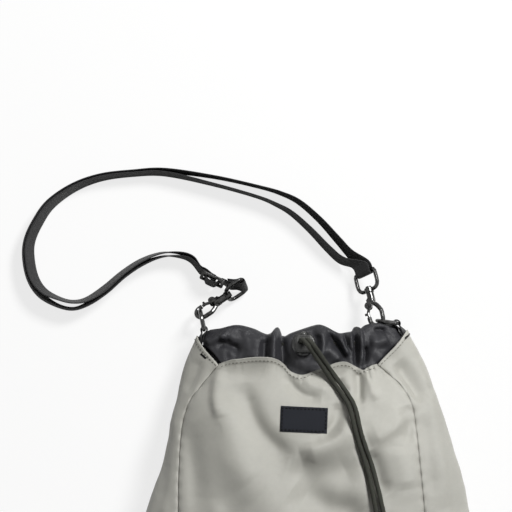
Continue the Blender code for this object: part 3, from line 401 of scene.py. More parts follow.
def metalMaterial(name, colour, roughness):
    # plated steel: glossy, smudged here and there, with bevels that catch the light
    made, tree, shader = newMaterial(name)
    place = addNode(tree, "ShaderNodeTexCoord")
    smudge = addNode(tree, "ShaderNodeTexNoise", {"Scale": 320.0, "Detail": 3.0},
                     {"Vector": place.outputs["Object"]})
    tint = addNode(tree, "ShaderNodeValToRGB", {"stops": [(0.3, linear(colour)), (0.8, linear("4b4b4a"))]},
                   {"Fac": smudge.outputs["Fac"]})
    rough = addNode(tree, "ShaderNodeMapRange", {"To Min": roughness - 0.06, "To Max": roughness + 0.12},
                    {"Value": smudge.outputs["Fac"]})
    rounded = addNode(tree, "ShaderNodeBevel", {"samples": 6, "Radius": 0.0007})
    fillNode(tree, shader, {"Metallic": 0.85, "Coat Weight": 0.3, "Coat Roughness": 0.1},
             {"Base Color": tint.outputs["Color"], "Roughness": rough.outputs["Result"],
              "Normal": rounded.outputs["Normal"]})
    return made


def plasticMaterial():
    # moulded acetal: near black, satin, with a fine moulded grain
    made, tree, shader = newMaterial("moulded_plastic")
    place = addNode(tree, "ShaderNodeTexCoord")
    grain = addNode(tree, "ShaderNodeTexNoise", {"Scale": 1800.0, "Detail": 2.0},
                    {"Vector": place.outputs["Object"]})
    tint = addNode(tree, "ShaderNodeValToRGB", {"stops": [(0.3, linear("30302f")), (0.8, linear("454543"))]},
                   {"Fac": grain.outputs["Fac"]})
    rounded = addNode(tree, "ShaderNodeBevel", {"samples": 6, "Radius": 0.0006})
    bump = addNode(tree, "ShaderNodeBump", {"Strength": 0.15, "Distance": 0.0001},
                   {"Height": grain.outputs["Fac"], "Normal": rounded.outputs["Normal"]})
    fillNode(tree, shader, {"Roughness": 0.26},
             {"Base Color": tint.outputs["Color"], "Normal": bump.outputs["Normal"]})
    return made


def labelMaterial():
    # damask label: tight satin weave in navy black, a little lighter along its threads, 0.3 and 0.45 mm apart
    made, tree, shader = newMaterial("woven_label")
    uv = addNode(tree, "ShaderNodeUVMap", {"uv_map": "cloth"})
    warp, weft = (
        addNode(tree, "ShaderNodeTexWave", {"bands_direction": direction, "Scale": bandScale(width)},
                {"Vector": uv.outputs["UV"]}) for direction, width in (("X", 0.0005), ("Y", 0.0007)))
    height = addNode(tree, "ShaderNodeMath", {"operation": "MULTIPLY_ADD", 1: 0.6},
                     {0: warp.outputs["Fac"], 2: weft.outputs["Fac"]})
    tint = addNode(tree, "ShaderNodeValToRGB", {"stops": [(0.2, linear("15171b")), (1.0, linear("24262c"))]},
                   {"Fac": height.outputs["Value"]})
    bump = addNode(tree, "ShaderNodeBump", {"Strength": 0.5, "Distance": 0.0002},
                   {"Height": height.outputs["Value"]})
    fillNode(tree, shader, {"Roughness": 0.75, "Specular IOR Level": 0.15},
             {"Base Color": tint.outputs["Color"], "Normal": bump.outputs["Normal"]})
    return made


def threadMaterial(name, colour):
    # spun sewing thread: matt, its plies a little darker than its colour
    made, tree, shader = newMaterial(name)
    place = addNode(tree, "ShaderNodeTexCoord")
    ply = addNode(tree, "ShaderNodeTexNoise", {"Scale": 2500.0, "Detail": 1.0},
                  {"Vector": place.outputs["Object"]})
    darker = (*(0.7 * c for c in linear(colour)[:3]), 1)
    tint = addNode(tree, "ShaderNodeValToRGB", {"stops": [(0.3, darker), (0.7, linear(colour))]},
                   {"Fac": ply.outputs["Fac"]})
    fillNode(tree, shader, {"Roughness": 0.8, "Specular IOR Level": 0.15},
             {"Base Color": tint.outputs["Color"]})
    return made


makeCamera()
makeLights()
makeFloor()
bodyNylon = nylonMaterial("grey_nylon_twill")
collarNylon = nylonMaterial("black_nylon_lining")
webbingCloth = webbingMaterial()
cordBraid = cordMaterial()
blackMetal = metalMaterial("black_nickel", "151515", 0.16)
springSteel = metalMaterial("spring_wire", "77777a", 0.25)
blackPlastic = plasticMaterial()
labelCloth = labelMaterial()
# the hems' topstitching thread: its darker grey is partly the thread's own colour and partly painted shade
# for its needle holes
greyThreadHoleShade = threadMaterial("grey_thread_hole_shade", "6f6d65")
blackThread = threadMaterial("black_thread", "080808")
print("stage and materials made")


bag = {
    # y, left edge, right edge, height
    "stations": [
        (-0.140, -0.116, 0.120, 0.084), (-0.100, -0.132, 0.136, 0.095), (-0.050, -0.134, 0.139, 0.098),
        (0.014, -0.125, 0.130, 0.088), (0.060, -0.1125, 0.1185, 0.079), (0.104, -0.1025, 0.104, 0.066),
        (0.134, -0.0955, 0.094, 0.052), (0.156, -0.0855, 0.083, 0.050), (0.166, -0.0805, 0.078, 0.049)],
    "leftSeam": [
        (-0.140, -0.088), (-0.100, -0.097), (-0.050, -0.101), (0.014, -0.0995), (0.050, -0.0993),
        (0.086, -0.097), (0.106, -0.091), (0.119, -0.081), (0.134, -0.0685)],
    "rightSeam": [
        (-0.140, 0.082), (-0.100, 0.091), (-0.050, 0.094), (0.014, 0.091), (0.050, 0.0882),
        (0.086, 0.085), (0.105, 0.0817), (0.119, 0.073), (0.134, 0.0555)],
    # along the bag: its base and hem, the hem's width, and how far each gusset rises over it, left and right
    "base": -0.140, "hem": 0.134, "hemBand": 0.0042, "sideRise": {-1: 0.022, 1: 0.027},
    # section: where its widest line is in its height, how square it is above and below, and how far pressed
    "sideLevel": 0.48, "upperSquare": 2.3, "lowerSquare": 2.6, "pressed": 1.10,
    "backSeamIn": 0.016, "fabric": 0.0009, "seamDepth": 0.0017, "seamPucker": (0.35, 0.00966),
    # edge of the front panel's hem, (x, y) in mm: it rides up over the full gathers and dips at the eyelet
    "hemLine": [
        (-68, 135.0), (-63, 136.9), (-58, 138.3), (-51.7, 138.9), (-42, 140.2), (-32, 140.4), (-25.2, 139.4),
        (-18.1, 135.7), (-12.7, 129.6), (-4.9, 126.8), (3.7, 129.5), (13.8, 132.6), (24, 136.3), (31, 136.7),
        (36.5, 134.2), (40.4, 130.5), (44, 131.4), (48, 132.9), (52, 134.2), (58, 135.6)],
}


def halfSizes(y, inset=0.0):
    # of the body's section at y: its middle, the level of its widest line, half its width, and the heights
    # above and below that line, the lower one larger than the level so that it is pressed flat
    left, right, height = (curveThrough(bag["stations"], y, k) for k in (1, 2, 3))
    level = bag["sideLevel"] * height
    below = level * bag["pressed"] - inset
    return (left + right) / 2, level, (right - left) / 2 - inset, height - level - inset, below


def bagSection(y, turn, inset=0.0, side=0.0, face=0.0):
    # superellipse of half width w and half height h: x = w |cos|^(2/n), z = h |sin|^(2/n), pressed flat below
    y, turn = np.broadcast_arrays(np.asarray(y, float), np.asarray(turn, float))
    middle, level, wide, up, down = halfSizes(y, inset)
    c, s = np.cos(turn), np.sin(turn)
    square = np.where(s >= 0, bag["upperSquare"], bag["lowerSquare"])
    x = middle + (wide - side) * np.sign(c) * np.abs(c) ** (2 / square)
    z = np.where(s >= 0, level + (up - face) * np.abs(s) ** (2 / square),
                 np.maximum(level - (down - face) * np.abs(s) ** (2 / square), inset + face))
    return np.stack([x, y, z], -1)


def seamTurn(y, x):
    # the superellipse solved for its turn on the upper side: |cos| = (|x| / w)^(n/2)
    middle, _, wide, _, _ = halfSizes(y)
    turn = np.arccos(np.minimum(np.abs(x - middle) / wide, 1.0) ** (bag["upperSquare"] / 2))
    return np.where(x > middle, turn, np.pi - turn)


def backTurn(y, side):
    # the same on the lower side, where the back panel ends backSeamIn inside the widest line
    wide = halfSizes(y)[2]
    turn = np.arccos(((wide - bag["backSeamIn"]) / wide) ** (bag["lowerSquare"] / 2))
    return -turn if side > 0 else -np.pi + turn


def hemAt(x):
    return curveThrough(np.array(bag["hemLine"]) * mm, x)


def frontHeight(x, y):
    # upper half of the section: z = level + h (1 - (|x| / w)^n)^(1/n)
    middle, level, wide, up, _ = halfSizes(y)
    share = np.minimum(np.abs(x - middle) / wide, 1.0)
    return level + up * (1 - share ** bag["upperSquare"]) ** (1 / bag["upperSquare"])


front = {
    "columns": 176, "rows": 230, "crowd": 1.25, "pastSeam": 0.0001,
    # soft waves: height, length, seed
    "waves": [(0.0005, 0.045, 3), (0.00022, 0.016, 4)],
    # the hem's roll and pucker, with the places that the cord draws up: x, width
    "roll": 0.0016, "pucker": 0.00045, "drawnUp": [(-0.004, 0.013), (0.047, 0.011)],
    # folds: path (x, y), height, width on the left and on the right of the path, all in mm
    "folds": [
        # crease that runs down the left of the label and turns under it, and the swell beside it
        ([(-49, 124), (-47, 108), (-42, 94), (-33, 80), (-21, 69), (-6, 64)], -6.2, 8, 10.5),
        ([(-62, 116), (-62, 98), (-58, 76), (-48, 54), (-30, 38)], 5.0, 14, 15),
        # roll that curves round the label's right end, the hollow inside it and the slope beneath it
        ([(22, 107), (24, 96), (19, 86), (9, 80)], -3.4, 5, 4.5),
        ([(-8, 67), (13, 73), (27, 82), (34, 95)], 5.2, 5.5, 11),
        ([(-18, 58), (2, 51), (22, 52), (42, 62)], -5.6, 12, 11),
        # arcs that fan out from the dip at the eyelet
        ([(-17, 128), (-10, 117), (0, 110), (13, 109)], -3.4, 4, 5),
        ([(-4, 126), (6, 119), (18, 117)], 1.8, 4, 4),
        ([(24, 124), (27, 117), (34, 111)], -3.2, 4.2, 4.5),
        # full rolls of the gathered hem
        ([(-66, 137), (-50, 140.5), (-34, 141), (-21, 137)], 4.2, 7, 9.5),
        ([(14, 133), (27, 137), (36, 133)], 3.2, 6, 8),
        # pleats at the hem's right
        ([(40.4, 132), (41, 120), (41, 102)], -4.8, 3.4, 4.6),
        ([(48, 131), (50, 120), (55, 106)], 2.4, 5, 4),
        ([(44, 132), (44.6, 129), (46, 126)], -1.0, 1.2, 1.0),
        ([(47.5, 133), (48.4, 128), (50, 122)], -1.5, 1.3, 1.2),
        ([(52, 134), (52.6, 131), (53.5, 128)], -0.9, 1.1, 1.0),
        ([(55, 135), (57, 130), (60, 125)], -1.2, 1.3, 1.0),
        # pleat beside the left seam
        ([(-67, 132), (-71, 120), (-71.5, 106), (-68, 92)], 3.4, 7.5, 3.2),
        # beside the cord: the slope towards the right seam, then the deep hollow
        ([(46, 76), (60, 82), (72, 91), (80, 102)], 3.8, 11, 6),
        ([(75, 104), (79, 90), (78, 72)], -3.6, 5, 6),
        ([(46, 70), (52, 57), (56, 44), (62, 34)], -6.0, 7.5, 7.5),
        ([(73, 74), (75, 56), (78, 38)], 2.4, 9, 9),
        # lower front: hollow in the middle, swells beside it
        ([(-12, 44), (2, 34), (16, 26), (32, 20), (42, 4)], -9.0, 13, 14),
        ([(-46, 46), (-32, 28), (-26, 4)], 3.2, 16, 18),
        ([(-94, 92), (-89, 70), (-86, 46), (-86, 16)], -3.4, 9, 8),
        ([(-72, 34), (-70, 14), (-74, -20)], 1.8, 7, 7),
    ],
}


def seamDip(x, y):
    # the panel turns in at its seams: -depth * exp(-distance / 2.2 mm), puckered along them
    left = x - curveThrough(bag["leftSeam"], y)
    right = curveThrough(bag["rightSeam"], y) - x
    near = np.minimum(np.abs(left), np.abs(right))
    size, pitch = bag["seamPucker"]
    pucker = 1 + size * np.sin(y / pitch * 2 * np.pi) * np.exp(-np.abs(near) / 0.006)
    return -bag["seamDepth"] * np.exp(-near / 0.0022) * pucker


def hemBand(down):
    # the hem is the cloth turned in twice: it stands 0.35 mm proud for its width below the edge
    return 0.00035 * np.clip((bag["hemBand"] - down) / 0.0004, 0, 1)


def frontLift(x, y):
    # folds, two sizes of soft waves, the seams' dip, and near the hem its roll, its band and its pucker
    lift = foldField(x, y, front["folds"])
    for height, length, seed in front["waves"]:
        lift = lift + height * softWaves(x, y, length, seed)
    hem = hemAt(x)
    below = np.maximum(hem - y, 0)
    roll = front["roll"] * np.clip((hem - 0.130) / 0.008, -0.6, 1.0) * np.exp(-below / 0.0035)
    drawnUp = 0.3
    for at, width in front["drawnUp"]:
        drawnUp = drawnUp + np.exp(-((x - at) / width) ** 2)
    pucker = front["pucker"] * softWaves(x, 0 * y, 0.0046, 61) * drawnUp * np.exp(-below / 0.006)
    return lift + seamDip(x, y) + roll + hemBand(hem - y) + pucker


def frontSurface(x, y):
    # the cloth over (x, y): the section's height with the lift on it
    x, y = np.broadcast_arrays(np.asarray(x, float), np.asarray(y, float))
    return np.stack([x, y, frontHeight(x, y) + frontLift(x, y)], -1)


def makeFront():
    # x runs from seam to seam and y from the base to the hem line, with its rows closer towards the hem
    share = np.linspace(0, 1, front["columns"])[None, :]
    rise = 1 - (1 - np.linspace(0, 1, front["rows"])[:, None]) ** front["crowd"]
    hemLeft, hemRight = (curveThrough(bag[seam], bag["hem"]) for seam in ("leftSeam", "rightSeam"))
    top = hemAt(hemLeft * (1 - share) + hemRight * share)
    y = bag["base"] + (top - bag["base"]) * rise
    left = curveThrough(bag["leftSeam"], y) - front["pastSeam"]
    right = curveThrough(bag["rightSeam"], y) + front["pastSeam"]
    points = frontSurface(left + (right - left) * share, y)
    panel = clothPanel("front_cloth", points, bodyNylon, bag["fabric"])
    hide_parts("front_panel")
    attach(panel, "bag")


gusset = {
    "columns": 110, "rows": 200, "inSeam": 0.0008, "waves": [(0.0007, 0.05, 11), (0.00025, 0.02, 21)],
    # folds of the right and the left gusset, as the front's
    "folds": {
        1: [
            ([(70, 138), (77, 128), (85, 116), (92, 104)], -5.0, 6.5, 6),
            ([(88, 142), (92, 128), (96, 112)], 1.8, 6, 6),
            ([(95, 120), (100, 96), (104, 60), (108, 20)], 2.4, 8, 10),
            ([(90, 100), (94, 70), (96, 30)], -2.2, 6, 6),
            ([(118, 40), (124, 0), (126, -40)], -2.0, 8, 8),
        ],
        -1: [
            ([(-84, 140), (-88, 126), (-96, 112)], -1.8, 5, 6),
            ([(-104, 90), (-108, 60), (-110, 20)], -2.4, 5, 6),
            ([(-100, 110), (-106, 70), (-108, 40), (-112, 0)], 1.6, 4, 4),
            ([(-118, 40), (-124, 0), (-126, -50)], 1.8, 8, 8),
        ]},
}


def gussetLift(points, side):
    # folds that fade out from 40 mm down to 20 mm, and two sizes of soft waves
    x, y, z = np.moveaxis(points, -1, 0)
    lift = foldField(x, y, gusset["folds"][side]) * np.clip((z - 0.02) / 0.02, 0, 1)
    for other, (height, length, seed) in zip((z, x), gusset["waves"]):
        lift = lift + height * softWaves(y, other, length, seed + side)
    return lift


def makeGusset(name, side):
    # the section from the front's seam round to the back's, rising in a half sine at its hem
    share = np.linspace(0, 1, gusset["columns"])[None, :]
    rise = np.linspace(0, 1, gusset["rows"])[:, None]
    top = bag["hem"] + bag["sideRise"][side] * np.sin(np.pi * share) ** 0.8
    y = bag["base"] + (top - bag["base"]) * rise
    seam = bag["rightSeam"] if side > 0 else bag["leftSeam"]
    atSeam = curveThrough(seam, y)
    turns = [seamTurn(y, atSeam), backTurn(y, side)]
    start, end = turns[::-1] if side > 0 else (turns[0], turns[1] + 2 * np.pi)
    points = bagSection(y, start + (end - start) * (gusset["inSeam"] + (1 - 2 * gusset["inSeam"]) * share))
    x, y, z = np.moveaxis(points, -1, 0)
    near = np.where(z > halfSizes(y)[1], np.abs(x - curveThrough(seam, y)), 1.0)
    # its own folds stand along its normal and fade out at the seam, where it follows the front up and down
    own = (gussetLift(points, side) + hemBand(top - y)) * (1 - np.exp(-near / 0.004))
    own = own * np.clip(z / 0.006, 0, 1)
    shared = (frontLift(atSeam, y) - seamDip(atSeam, y)) * np.exp(-near / 0.008)
    shared = shared + seamDip(x, y) * (near < 0.5)
    points = points - gridNormals(points) * own[..., None]
    points[..., 2] += shared
    panel = clothPanel(name + "_cloth", points, bodyNylon, bag["fabric"], flip=True)
    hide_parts(name)
    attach(panel, "bag")


back = {"columns": 120, "rows": 140, "inSeam": 0.002, "wave": 0.0006, "off": 0.0003}


def makeBack():
    # the section's lower side between its two seams, lifted off the table by soft waves
    share = np.linspace(0, 1, back["columns"])[None, :]
    y = (bag["base"] + (bag["hem"] - bag["base"]) * np.linspace(0, 1, back["rows"]))[:, None] + 0 * share
    left, right = backTurn(y, -1), backTurn(y, 1)
    points = bagSection(y, left + (right - left) * (back["inSeam"] + (1 - 2 * back["inSeam"]) * share))
    lift = back["wave"] * softWaves(points[..., 0], points[..., 1], 0.04, 31) + back["off"]
    points[..., 2] = np.maximum(points[..., 2], 0) + np.maximum(lift, 0)
    panel = clothPanel("back_cloth", points, bodyNylon, bag["fabric"], flip=True)
    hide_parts("back_panel")
    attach(panel, "bag")


base = {"columns": 160, "rings": 26, "bulge": 0.009, "sag": 0.0019, "beyond": 0.0004}


def makeBase():
    # the section at the base shrunk towards its middle, bulging by 1 - share^2.5 with soft waves on it
    count, rings = base["columns"], base["rings"]
    turn = np.linspace(0, 2 * np.pi, count, endpoint=False)[None, :]
    share = np.linspace(1.0, 0.02, rings)[:, None]
    middle, level, _, _, _ = halfSizes(bag["base"])
    edge = bagSection(np.full(turn.shape, bag["base"]), turn)
    bulge = base["bulge"] * (1 - share ** 2.5)
    x = middle + (edge[..., 0] - middle) * share
    z = level + (edge[..., 2] - level) * share
    sag = base["sag"] * softWaves(x, z, 0.040, 41) * np.sin(np.pi * np.clip(1 - share, 0, 0.5))
    y = bag["base"] - base["beyond"] - bulge - sag
    points = np.stack([x, y, z], -1)
    faces = gridFaces(rings, count, around=True).tolist()
    points = np.vstack([points.reshape(-1, 3), points[-1].mean(0)[None]])
    last = (rings - 1) * count
    faces += [[last + j, last + (j + 1) % count, len(points) - 1] for j in range(count)]
    panel = meshObject("base_cloth", points, faces, points[:, (0, 2)], [bodyNylon])
    thicken(panel, bag["fabric"])
    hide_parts("base_panel")
    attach(panel, "bag")


makeFront()
makeGusset("gusset_left", -1)
makeGusset("gusset_right", 1)
makeBack()
makeBase()
print("body panels made")


eyelet = {"middle": (-0.002, 0.1505, 0.04473), "out": (0, 0.237733, 0.97133)}

collar = {
    "columns": 560, "rows": 46, "lipRows": 12, "innerRows": 22,
    # heights along the bag, the lip's radius and the depth of the inner wall
    "bottom": 0.1195, "top": 0.163, "innerEnd": 0.1405, "lip": 0.0035, "deep": 0.0088, "fabric": 0.0005,
    # how far the drawcord draws it in, and where its ends are full: (y, size)
    "clear": 0.0020, "faceDraw": 0.0062, "sideDraw": {-1: 0.0030, 1: 0.0052}, "drawFrom": 0.108,
    "drawTo": 0.138, "sideFull": {-1: (0.1485, 0.0030), 1: (0.1520, 0.0036)},
    # the flat ring and the hole for the eyelet
    "flat": 0.0105, "hole": 0.0060, "behindHem": 0.0017, "girth": 0.36, "backTop": 0.1560,
    # folds are this much deeper than written, outwards and inwards; pleats over the back: height, pitch
    "gain": (2.0, 1.35), "pleats": (0.0012, 0.0105),
    # top edge of the gathers over the front, (x, y) in mm
    "topEdge": [
        (-80, 159.5), (-76.7, 160.8), (-69.7, 161.9), (-58.8, 164.5), (-44.7, 162.1), (-31.4, 157.4),
        (-27.2, 158.8), (-23.9, 162.9), (-21.4, 159.8), (-19.2, 155.2), (-11.8, 158.4), (-2.4, 161.6),
        (7.7, 164.5), (12.1, 164.9), (17.1, 163.2), (22.6, 160.1), (26.9, 158.2), (34.3, 159), (39, 160.1),
        (42.4, 163.2), (45.6, 161.6), (51.5, 164.5), (56.2, 165.6), (64, 166.2), (74, 166.0)],
    "folds": [
        # left end: diagonal rolls
        ([(-80, 152), (-70, 154), (-62, 158)], 2.2, 3, 4),
        ([(-72, 149), (-62, 150), (-50, 143)], -3.2, 4, 3),
        ([(-66, 160), (-60, 156), (-58, 148)], 1.2, 5, 6),
        # smooth swell, then the pointed fold
        ([(-40, 136), (-38, 148), (-37, 158)], 1.6, 16, 5),
        ([(-33, 134), (-33, 146), (-31, 156)], -2.4, 3, 3),
        ([(-25, 134), (-24.5, 148), (-23.9, 163)], 3.6, 4.5, 1.8),
        ([(-18.5, 130), (-19, 144), (-19, 156)], -3.2, 1.8, 5),
        # rolls right of the eyelet
        ([(10, 164), (12.5, 156), (12, 146), (8, 136)], 3.2, 3.5, 6),
        ([(17, 160), (22, 152), (28, 144), (31, 136)], -3.4, 2.4, 2.0),
        ([(14, 148), (22, 142), (26, 136)], 2.0, 4, 5),
        ([(25, 158), (29, 150), (33, 140)], 2.2, 2, 2),
        # tight gathers
        ([(30, 160), (31, 153), (33, 146)], -2.2, 1.3, 1.3),
        ([(34.5, 160), (35.5, 152), (37, 144)], 1.8, 1.4, 1.4),
        ([(38, 160), (38.5, 150), (39, 140), (38.5, 132)], -3.6, 1.8, 1.8),
        ([(42, 163), (43, 152), (43.5, 142), (41.5, 132)], 2.8, 1.6, 1.6),
        ([(46.5, 150), (47, 142), (46, 134)], -3.4, 1.8, 2.4),
        # right end: full roll with its hollow
        ([(49, 152), (56, 152), (64, 156)], 2.4, 4, 5),
        ([(53, 160.5), (59, 161), (64, 160)], -2.8, 2.2, 2.2),
        ([(50, 146), (56, 142), (62, 140)], 1.4, 4, 5),
    ],
}


def collarPoint(y, turn, depth):
    # the body's section at y, drawn in at its face and sides as it nears the cord, and depth inside it
    share = np.clip((y - bag["hem"]) / (collar["top"] - bag["hem"]), 0, 1)
    drawn = np.clip((y - collar["drawFrom"]) / (collar["drawTo"] - collar["drawFrom"]), 0, 1)
    onRight = np.cos(turn) > 0
    side = np.where(onRight, collar["sideDraw"][1], collar["sideDraw"][-1]) * drawn * drawn * (3 - 2 * drawn)
    # its ends are full where they lie against the webbing tabs
    full = {k: size * np.exp(-((y - at) / 0.0036) ** 2) for k, (at, size) in collar["sideFull"].items()}
    side = side - np.where(onRight, full[1], full[-1])
    # under the hem, which climbs over both gussets, it stands back from the body's cloth
    x = bagSection(y, turn)[..., 0]
    hem = hemAt(x) + 0.9 * np.maximum(x - 0.058, 0) + 1.2 * np.maximum(-0.069 - x, 0)
    under = np.clip((hem - 0.0012 - y) / 0.007, 0, 1)
    return bagSection(y, turn, collar["clear"] + depth + 0.0055 * under, side, collar["faceDraw"] * share)


def collarLift(x, y, turn):
    # folds and soft waves over the front, even pleats over the back, flat round the eyelet and under the hem
    overFront = np.clip(np.sin(turn) * 4, 0, 1)
    overBack = np.clip(-np.sin(turn) * 4, 0, 1)
    away = np.hypot(x - eyelet["middle"][0], y - eyelet["middle"][1])
    flat = np.clip((away - collar["flat"]) / 0.005, 0, 1)
    tucked = np.clip((y - 0.121) / 0.008, 0, 1)
    folded = foldField(x, y, collar["folds"]) * flat
    folded = folded * np.where(folded > 0, *collar["gain"])
    waves = 0.0003 * softWaves(x * 2.2, y, 0.014, 51) + 0.00012 * softWaves(x, y, 0.006, 52)
    folded = folded + waves * flat
    height, pitch = collar["pleats"]
    pleats = height * np.sin(x / pitch * 2 * np.pi + 2.0 * np.sin(x * 140))
    pleats = pleats * np.clip((y - 0.13) / 0.02, 0, 1)
    return (folded * overFront + pleats * overBack - 0.0006 * flat) * tucked


def makeCollar():
    # rings round the bag: up the outer wall, over the lip in a half circle and down the inner wall
    columns, rows, lip, deep = collar["columns"], collar["rows"], collar["lip"], collar["deep"]
    turn = np.linspace(0, 2 * np.pi, columns, endpoint=False)[None, :]
    spot = collarPoint(np.full(turn.shape, collar["top"]), turn, 0.0)
    edge = curveThrough(np.array(collar["topEdge"]) * mm, spot[..., 0])
    behind = collar["backTop"] + 0.0014 * np.sin(spot[..., 0] / 0.012) + 0.001 * np.sin(spot[..., 0] / 0.0047)
    top = behind + (edge - behind) * np.clip(np.sin(turn) * 3 + 1.0, 0, 1)
    layers = [(collar["bottom"] + (top - lip - collar["bottom"]) * v, 0.0) for v in np.linspace(0, 1, rows)]
    layers += [(top - lip + lip * math.sin(a), deep / 2 * (1 - math.cos(a)))
               for a in np.linspace(0, np.pi, collar["lipRows"] + 2)[1:-1]]
    layers += [(top - lip + (collar["innerEnd"] - top + lip) * v, deep)
               for v in np.linspace(0, 1, collar["innerRows"])]
    outward = unit(np.stack([np.cos(turn) * 0.25, np.zeros(turn.shape), np.sin(turn)], -1))
    points = []
    for y, depth in layers:
        ring = collarPoint(y, turn, depth)
        lift = collarLift(ring[..., 0], y, turn) * (1 - 0.45 * depth / deep)
        points.append((ring + outward * lift[..., None])[0])
    points = np.array(points)
    # it stays behind the front panel's hem
    x, y, z = np.moveaxis(points, -1, 0)
    beneath = frontSurface(x, np.minimum(y, hemAt(x)))[..., 2] - collar["behindHem"]
    between = (x > curveThrough(bag["leftSeam"], y)) & (x < curveThrough(bag["rightSeam"], y))
    covered = between & (z > 0.03) & (y < hemAt(x) + 0.0004)
    points[..., 2] = np.where(covered, np.minimum(z, beneath), z)
    # the hole for the eyelet, in the outer wall's front only
    faces = gridFaces(len(points), columns, around=True)
    middle = points.reshape(-1, 3)[faces].mean(1)
    away = np.hypot(middle[:, 0] - eyelet["middle"][0], middle[:, 1] - eyelet["middle"][1])
    hole = (away < collar["hole"]) & (faces[:, 0] // columns < rows) & (middle[:, 2] > 0.035)
    across = np.arange(columns)[None, :] * (collar["girth"] / columns) + np.zeros((len(points), 1))
    up = np.cumsum(np.linalg.norm(np.diff(points, axis=0), axis=2).mean(1))
    up = np.concatenate([[0], up])[:, None] + 0 * across
    made = meshObject("collar_cloth", points, faces[~hole], np.stack([across, up], -1), [collarNylon])
    thicken(made, collar["fabric"])
    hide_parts("collar")
    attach(made, "bag")


makeCollar()
print("collar made")


cord = {
    "radius": 0.00185, "spacing": 0.0041, "sides": 16, "ripple": 0.00008, "ripplePitch": 0.0011,
    # out of the eyelet, through the cord lock, which pinches it as far along as pinchTo, then over in a bend
    # whose points are at bendTurns, in degrees
    "rises": (0, 0.004, 0.008, 0.0125, 0.0152), "start": 0.0016, "pinch": 0.00016, "pinchTo": 0.0170,
    "bend": 0.0078, "bendTurns": (28, 56, 84, 110),
    # route over the bag: x, y, height above its surface
    "left": [
        (0.0161, 0.1278, 0.0058), (0.0283, 0.1105, 0.0024), (0.0333, 0.1012, 0.0024),
        (0.0380, 0.0815, 0.0024), (0.0468, 0.0530, 0.0024), (0.0527, 0.0245, 0.0024),
        (0.0565, 0.0020, 0.0024), (0.0578, -0.0120, 0.0026)],
    "right": [
        (0.0193, 0.1299, 0.0060), (0.0319, 0.1121, 0.0024), (0.0374, 0.1015, 0.0024),
        (0.0421, 0.0815, 0.0024), (0.0514, 0.0530, 0.0024), (0.0580, 0.0245, 0.0024),
        (0.0634, 0.0000, 0.0024), (0.0672, -0.0210, 0.0028)],
}

# the trefoil's size, the tight cord's radius, how far the loop stays open and its points
knotted = {"size": 0.00098, "radius": 0.0017, "sides": 12, "open": 0.35, "turns": 90}


def pathFrames(points):
    # tangent by central difference, side and up carried along without twist
    tangent = unit(np.gradient(points, axis=0))
    side = np.empty_like(points)
    side[0] = unit(np.cross(tangent[0], (0.0, 0.31, 0.95)))
    for i in range(1, len(points)):
        side[i] = unit(side[i - 1] - tangent[i] * np.dot(side[i - 1], tangent[i]))
    return side, np.cross(tangent, side)


def cordTube(name, points, radius, count, ripple=0.0):
    # a ring of count points at each point of the path: radius * (side cos + up sin), with the braid's ripple
    # sin(2 pi length / pitch + 3 turn) on it; a fan closes each end
    side, up = pathFrames(points)
    turn = np.linspace(0, 2 * np.pi, count, endpoint=False)
    length = pathLengths(points)
    size = np.asarray(radius, float).reshape(-1, 1) * np.ones((len(points), count))
    size = size + ripple * np.sin(length[:, None] / cord["ripplePitch"] * 2 * np.pi + 3 * turn)
    rings = points[:, None] + size[..., None] * (
        side[:, None] * np.cos(turn)[None, :, None] + up[:, None] * np.sin(turn)[None, :, None])
    rings = np.vstack([rings.reshape(-1, 3), points[:1], points[-1:]])
    last = len(points) * count
    faces = gridFaces(len(points), count, around=True).tolist()
    faces += [[last, (j + 1) % count, j] for j in range(count)]
    faces += [[last + 1, last - count + j, last - count + (j + 1) % count] for j in range(count)]
    around = turn[None, :] * float(np.mean(radius)) + 0 * size
    uv = np.stack([length[:, None] + 0 * size, around], -1).reshape(-1, 2)
    return meshObject(name, rings, faces, np.vstack([uv, [0, 0], [length[-1], 0]]), [cordBraid])


def surfaceUnder(x, y):
    # the section's height without its folds: the body's below the hem, the collar's above it
    if y <= bag["hem"]:
        return float(frontHeight(x, y))
    return float(collarPoint(y, seamTurn(y, x), 0.0)[..., 2])


def sliding(values, reach, pick):
    # pick (max or mean) of each value and its neighbours within reach
    padded = np.pad(values, reach, mode="edge")
    return pick(np.lib.stride_tricks.sliding_window_view(padded, 2 * reach + 1), axis=1)


def restOnCloth(points):
    # below the hem the cord lies on the folds: its height is the cloth's plus its radius, smoothed along it
    fine = route(points, 0.002)
    under = frontSurface(fine[:, 0], fine[:, 1])[:, 2] + cord["radius"] + 0.0002
    eased = sliding(sliding(under, 5, np.max), 5, np.mean)
    blend = np.clip((0.118 - fine[:, 1]) / 0.02, 0, 1)
    fine[:, 2] = fine[:, 2] + (eased - fine[:, 2]) * blend
    return fine


def makeCords():
    origin, out = np.array(eyelet["middle"]), np.array(eyelet["out"])
    for side, sign in (("left", -1), ("right", 1)):
        first = origin + np.array((sign * cord["spacing"] / 2, 0, 0))
        start = [first + out * (cord["start"] + rise) for rise in cord["rises"]]
        run = [np.array((x, y, surfaceUnder(x, y) + up)) for x, y, up in cord[side]]
        # above the lock it bends over, no tighter than two cord diameters, towards the first point of its run
        ahead = run[0] - start[-1]
        ahead = unit(ahead - out * (ahead @ out))
        arch = [start[-1] + cord["bend"] * ((1 - math.cos(a)) * ahead + math.sin(a) * out)
                for a in np.radians(cord["bendTurns"])]
        path = restOnCloth([*start, *arch, *run])
        along = pathLengths(path)
        thick = cord["radius"] - cord["pinch"] * np.clip((cord["pinchTo"] - along) / 0.002, 0, 1)
        tail = cordTube("cord_" + side, path, thick, cord["sides"], cord["ripple"])
        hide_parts("drawcord_tail_" + side)
        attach(tail, "bag")
        knot = makeKnot(side, path)


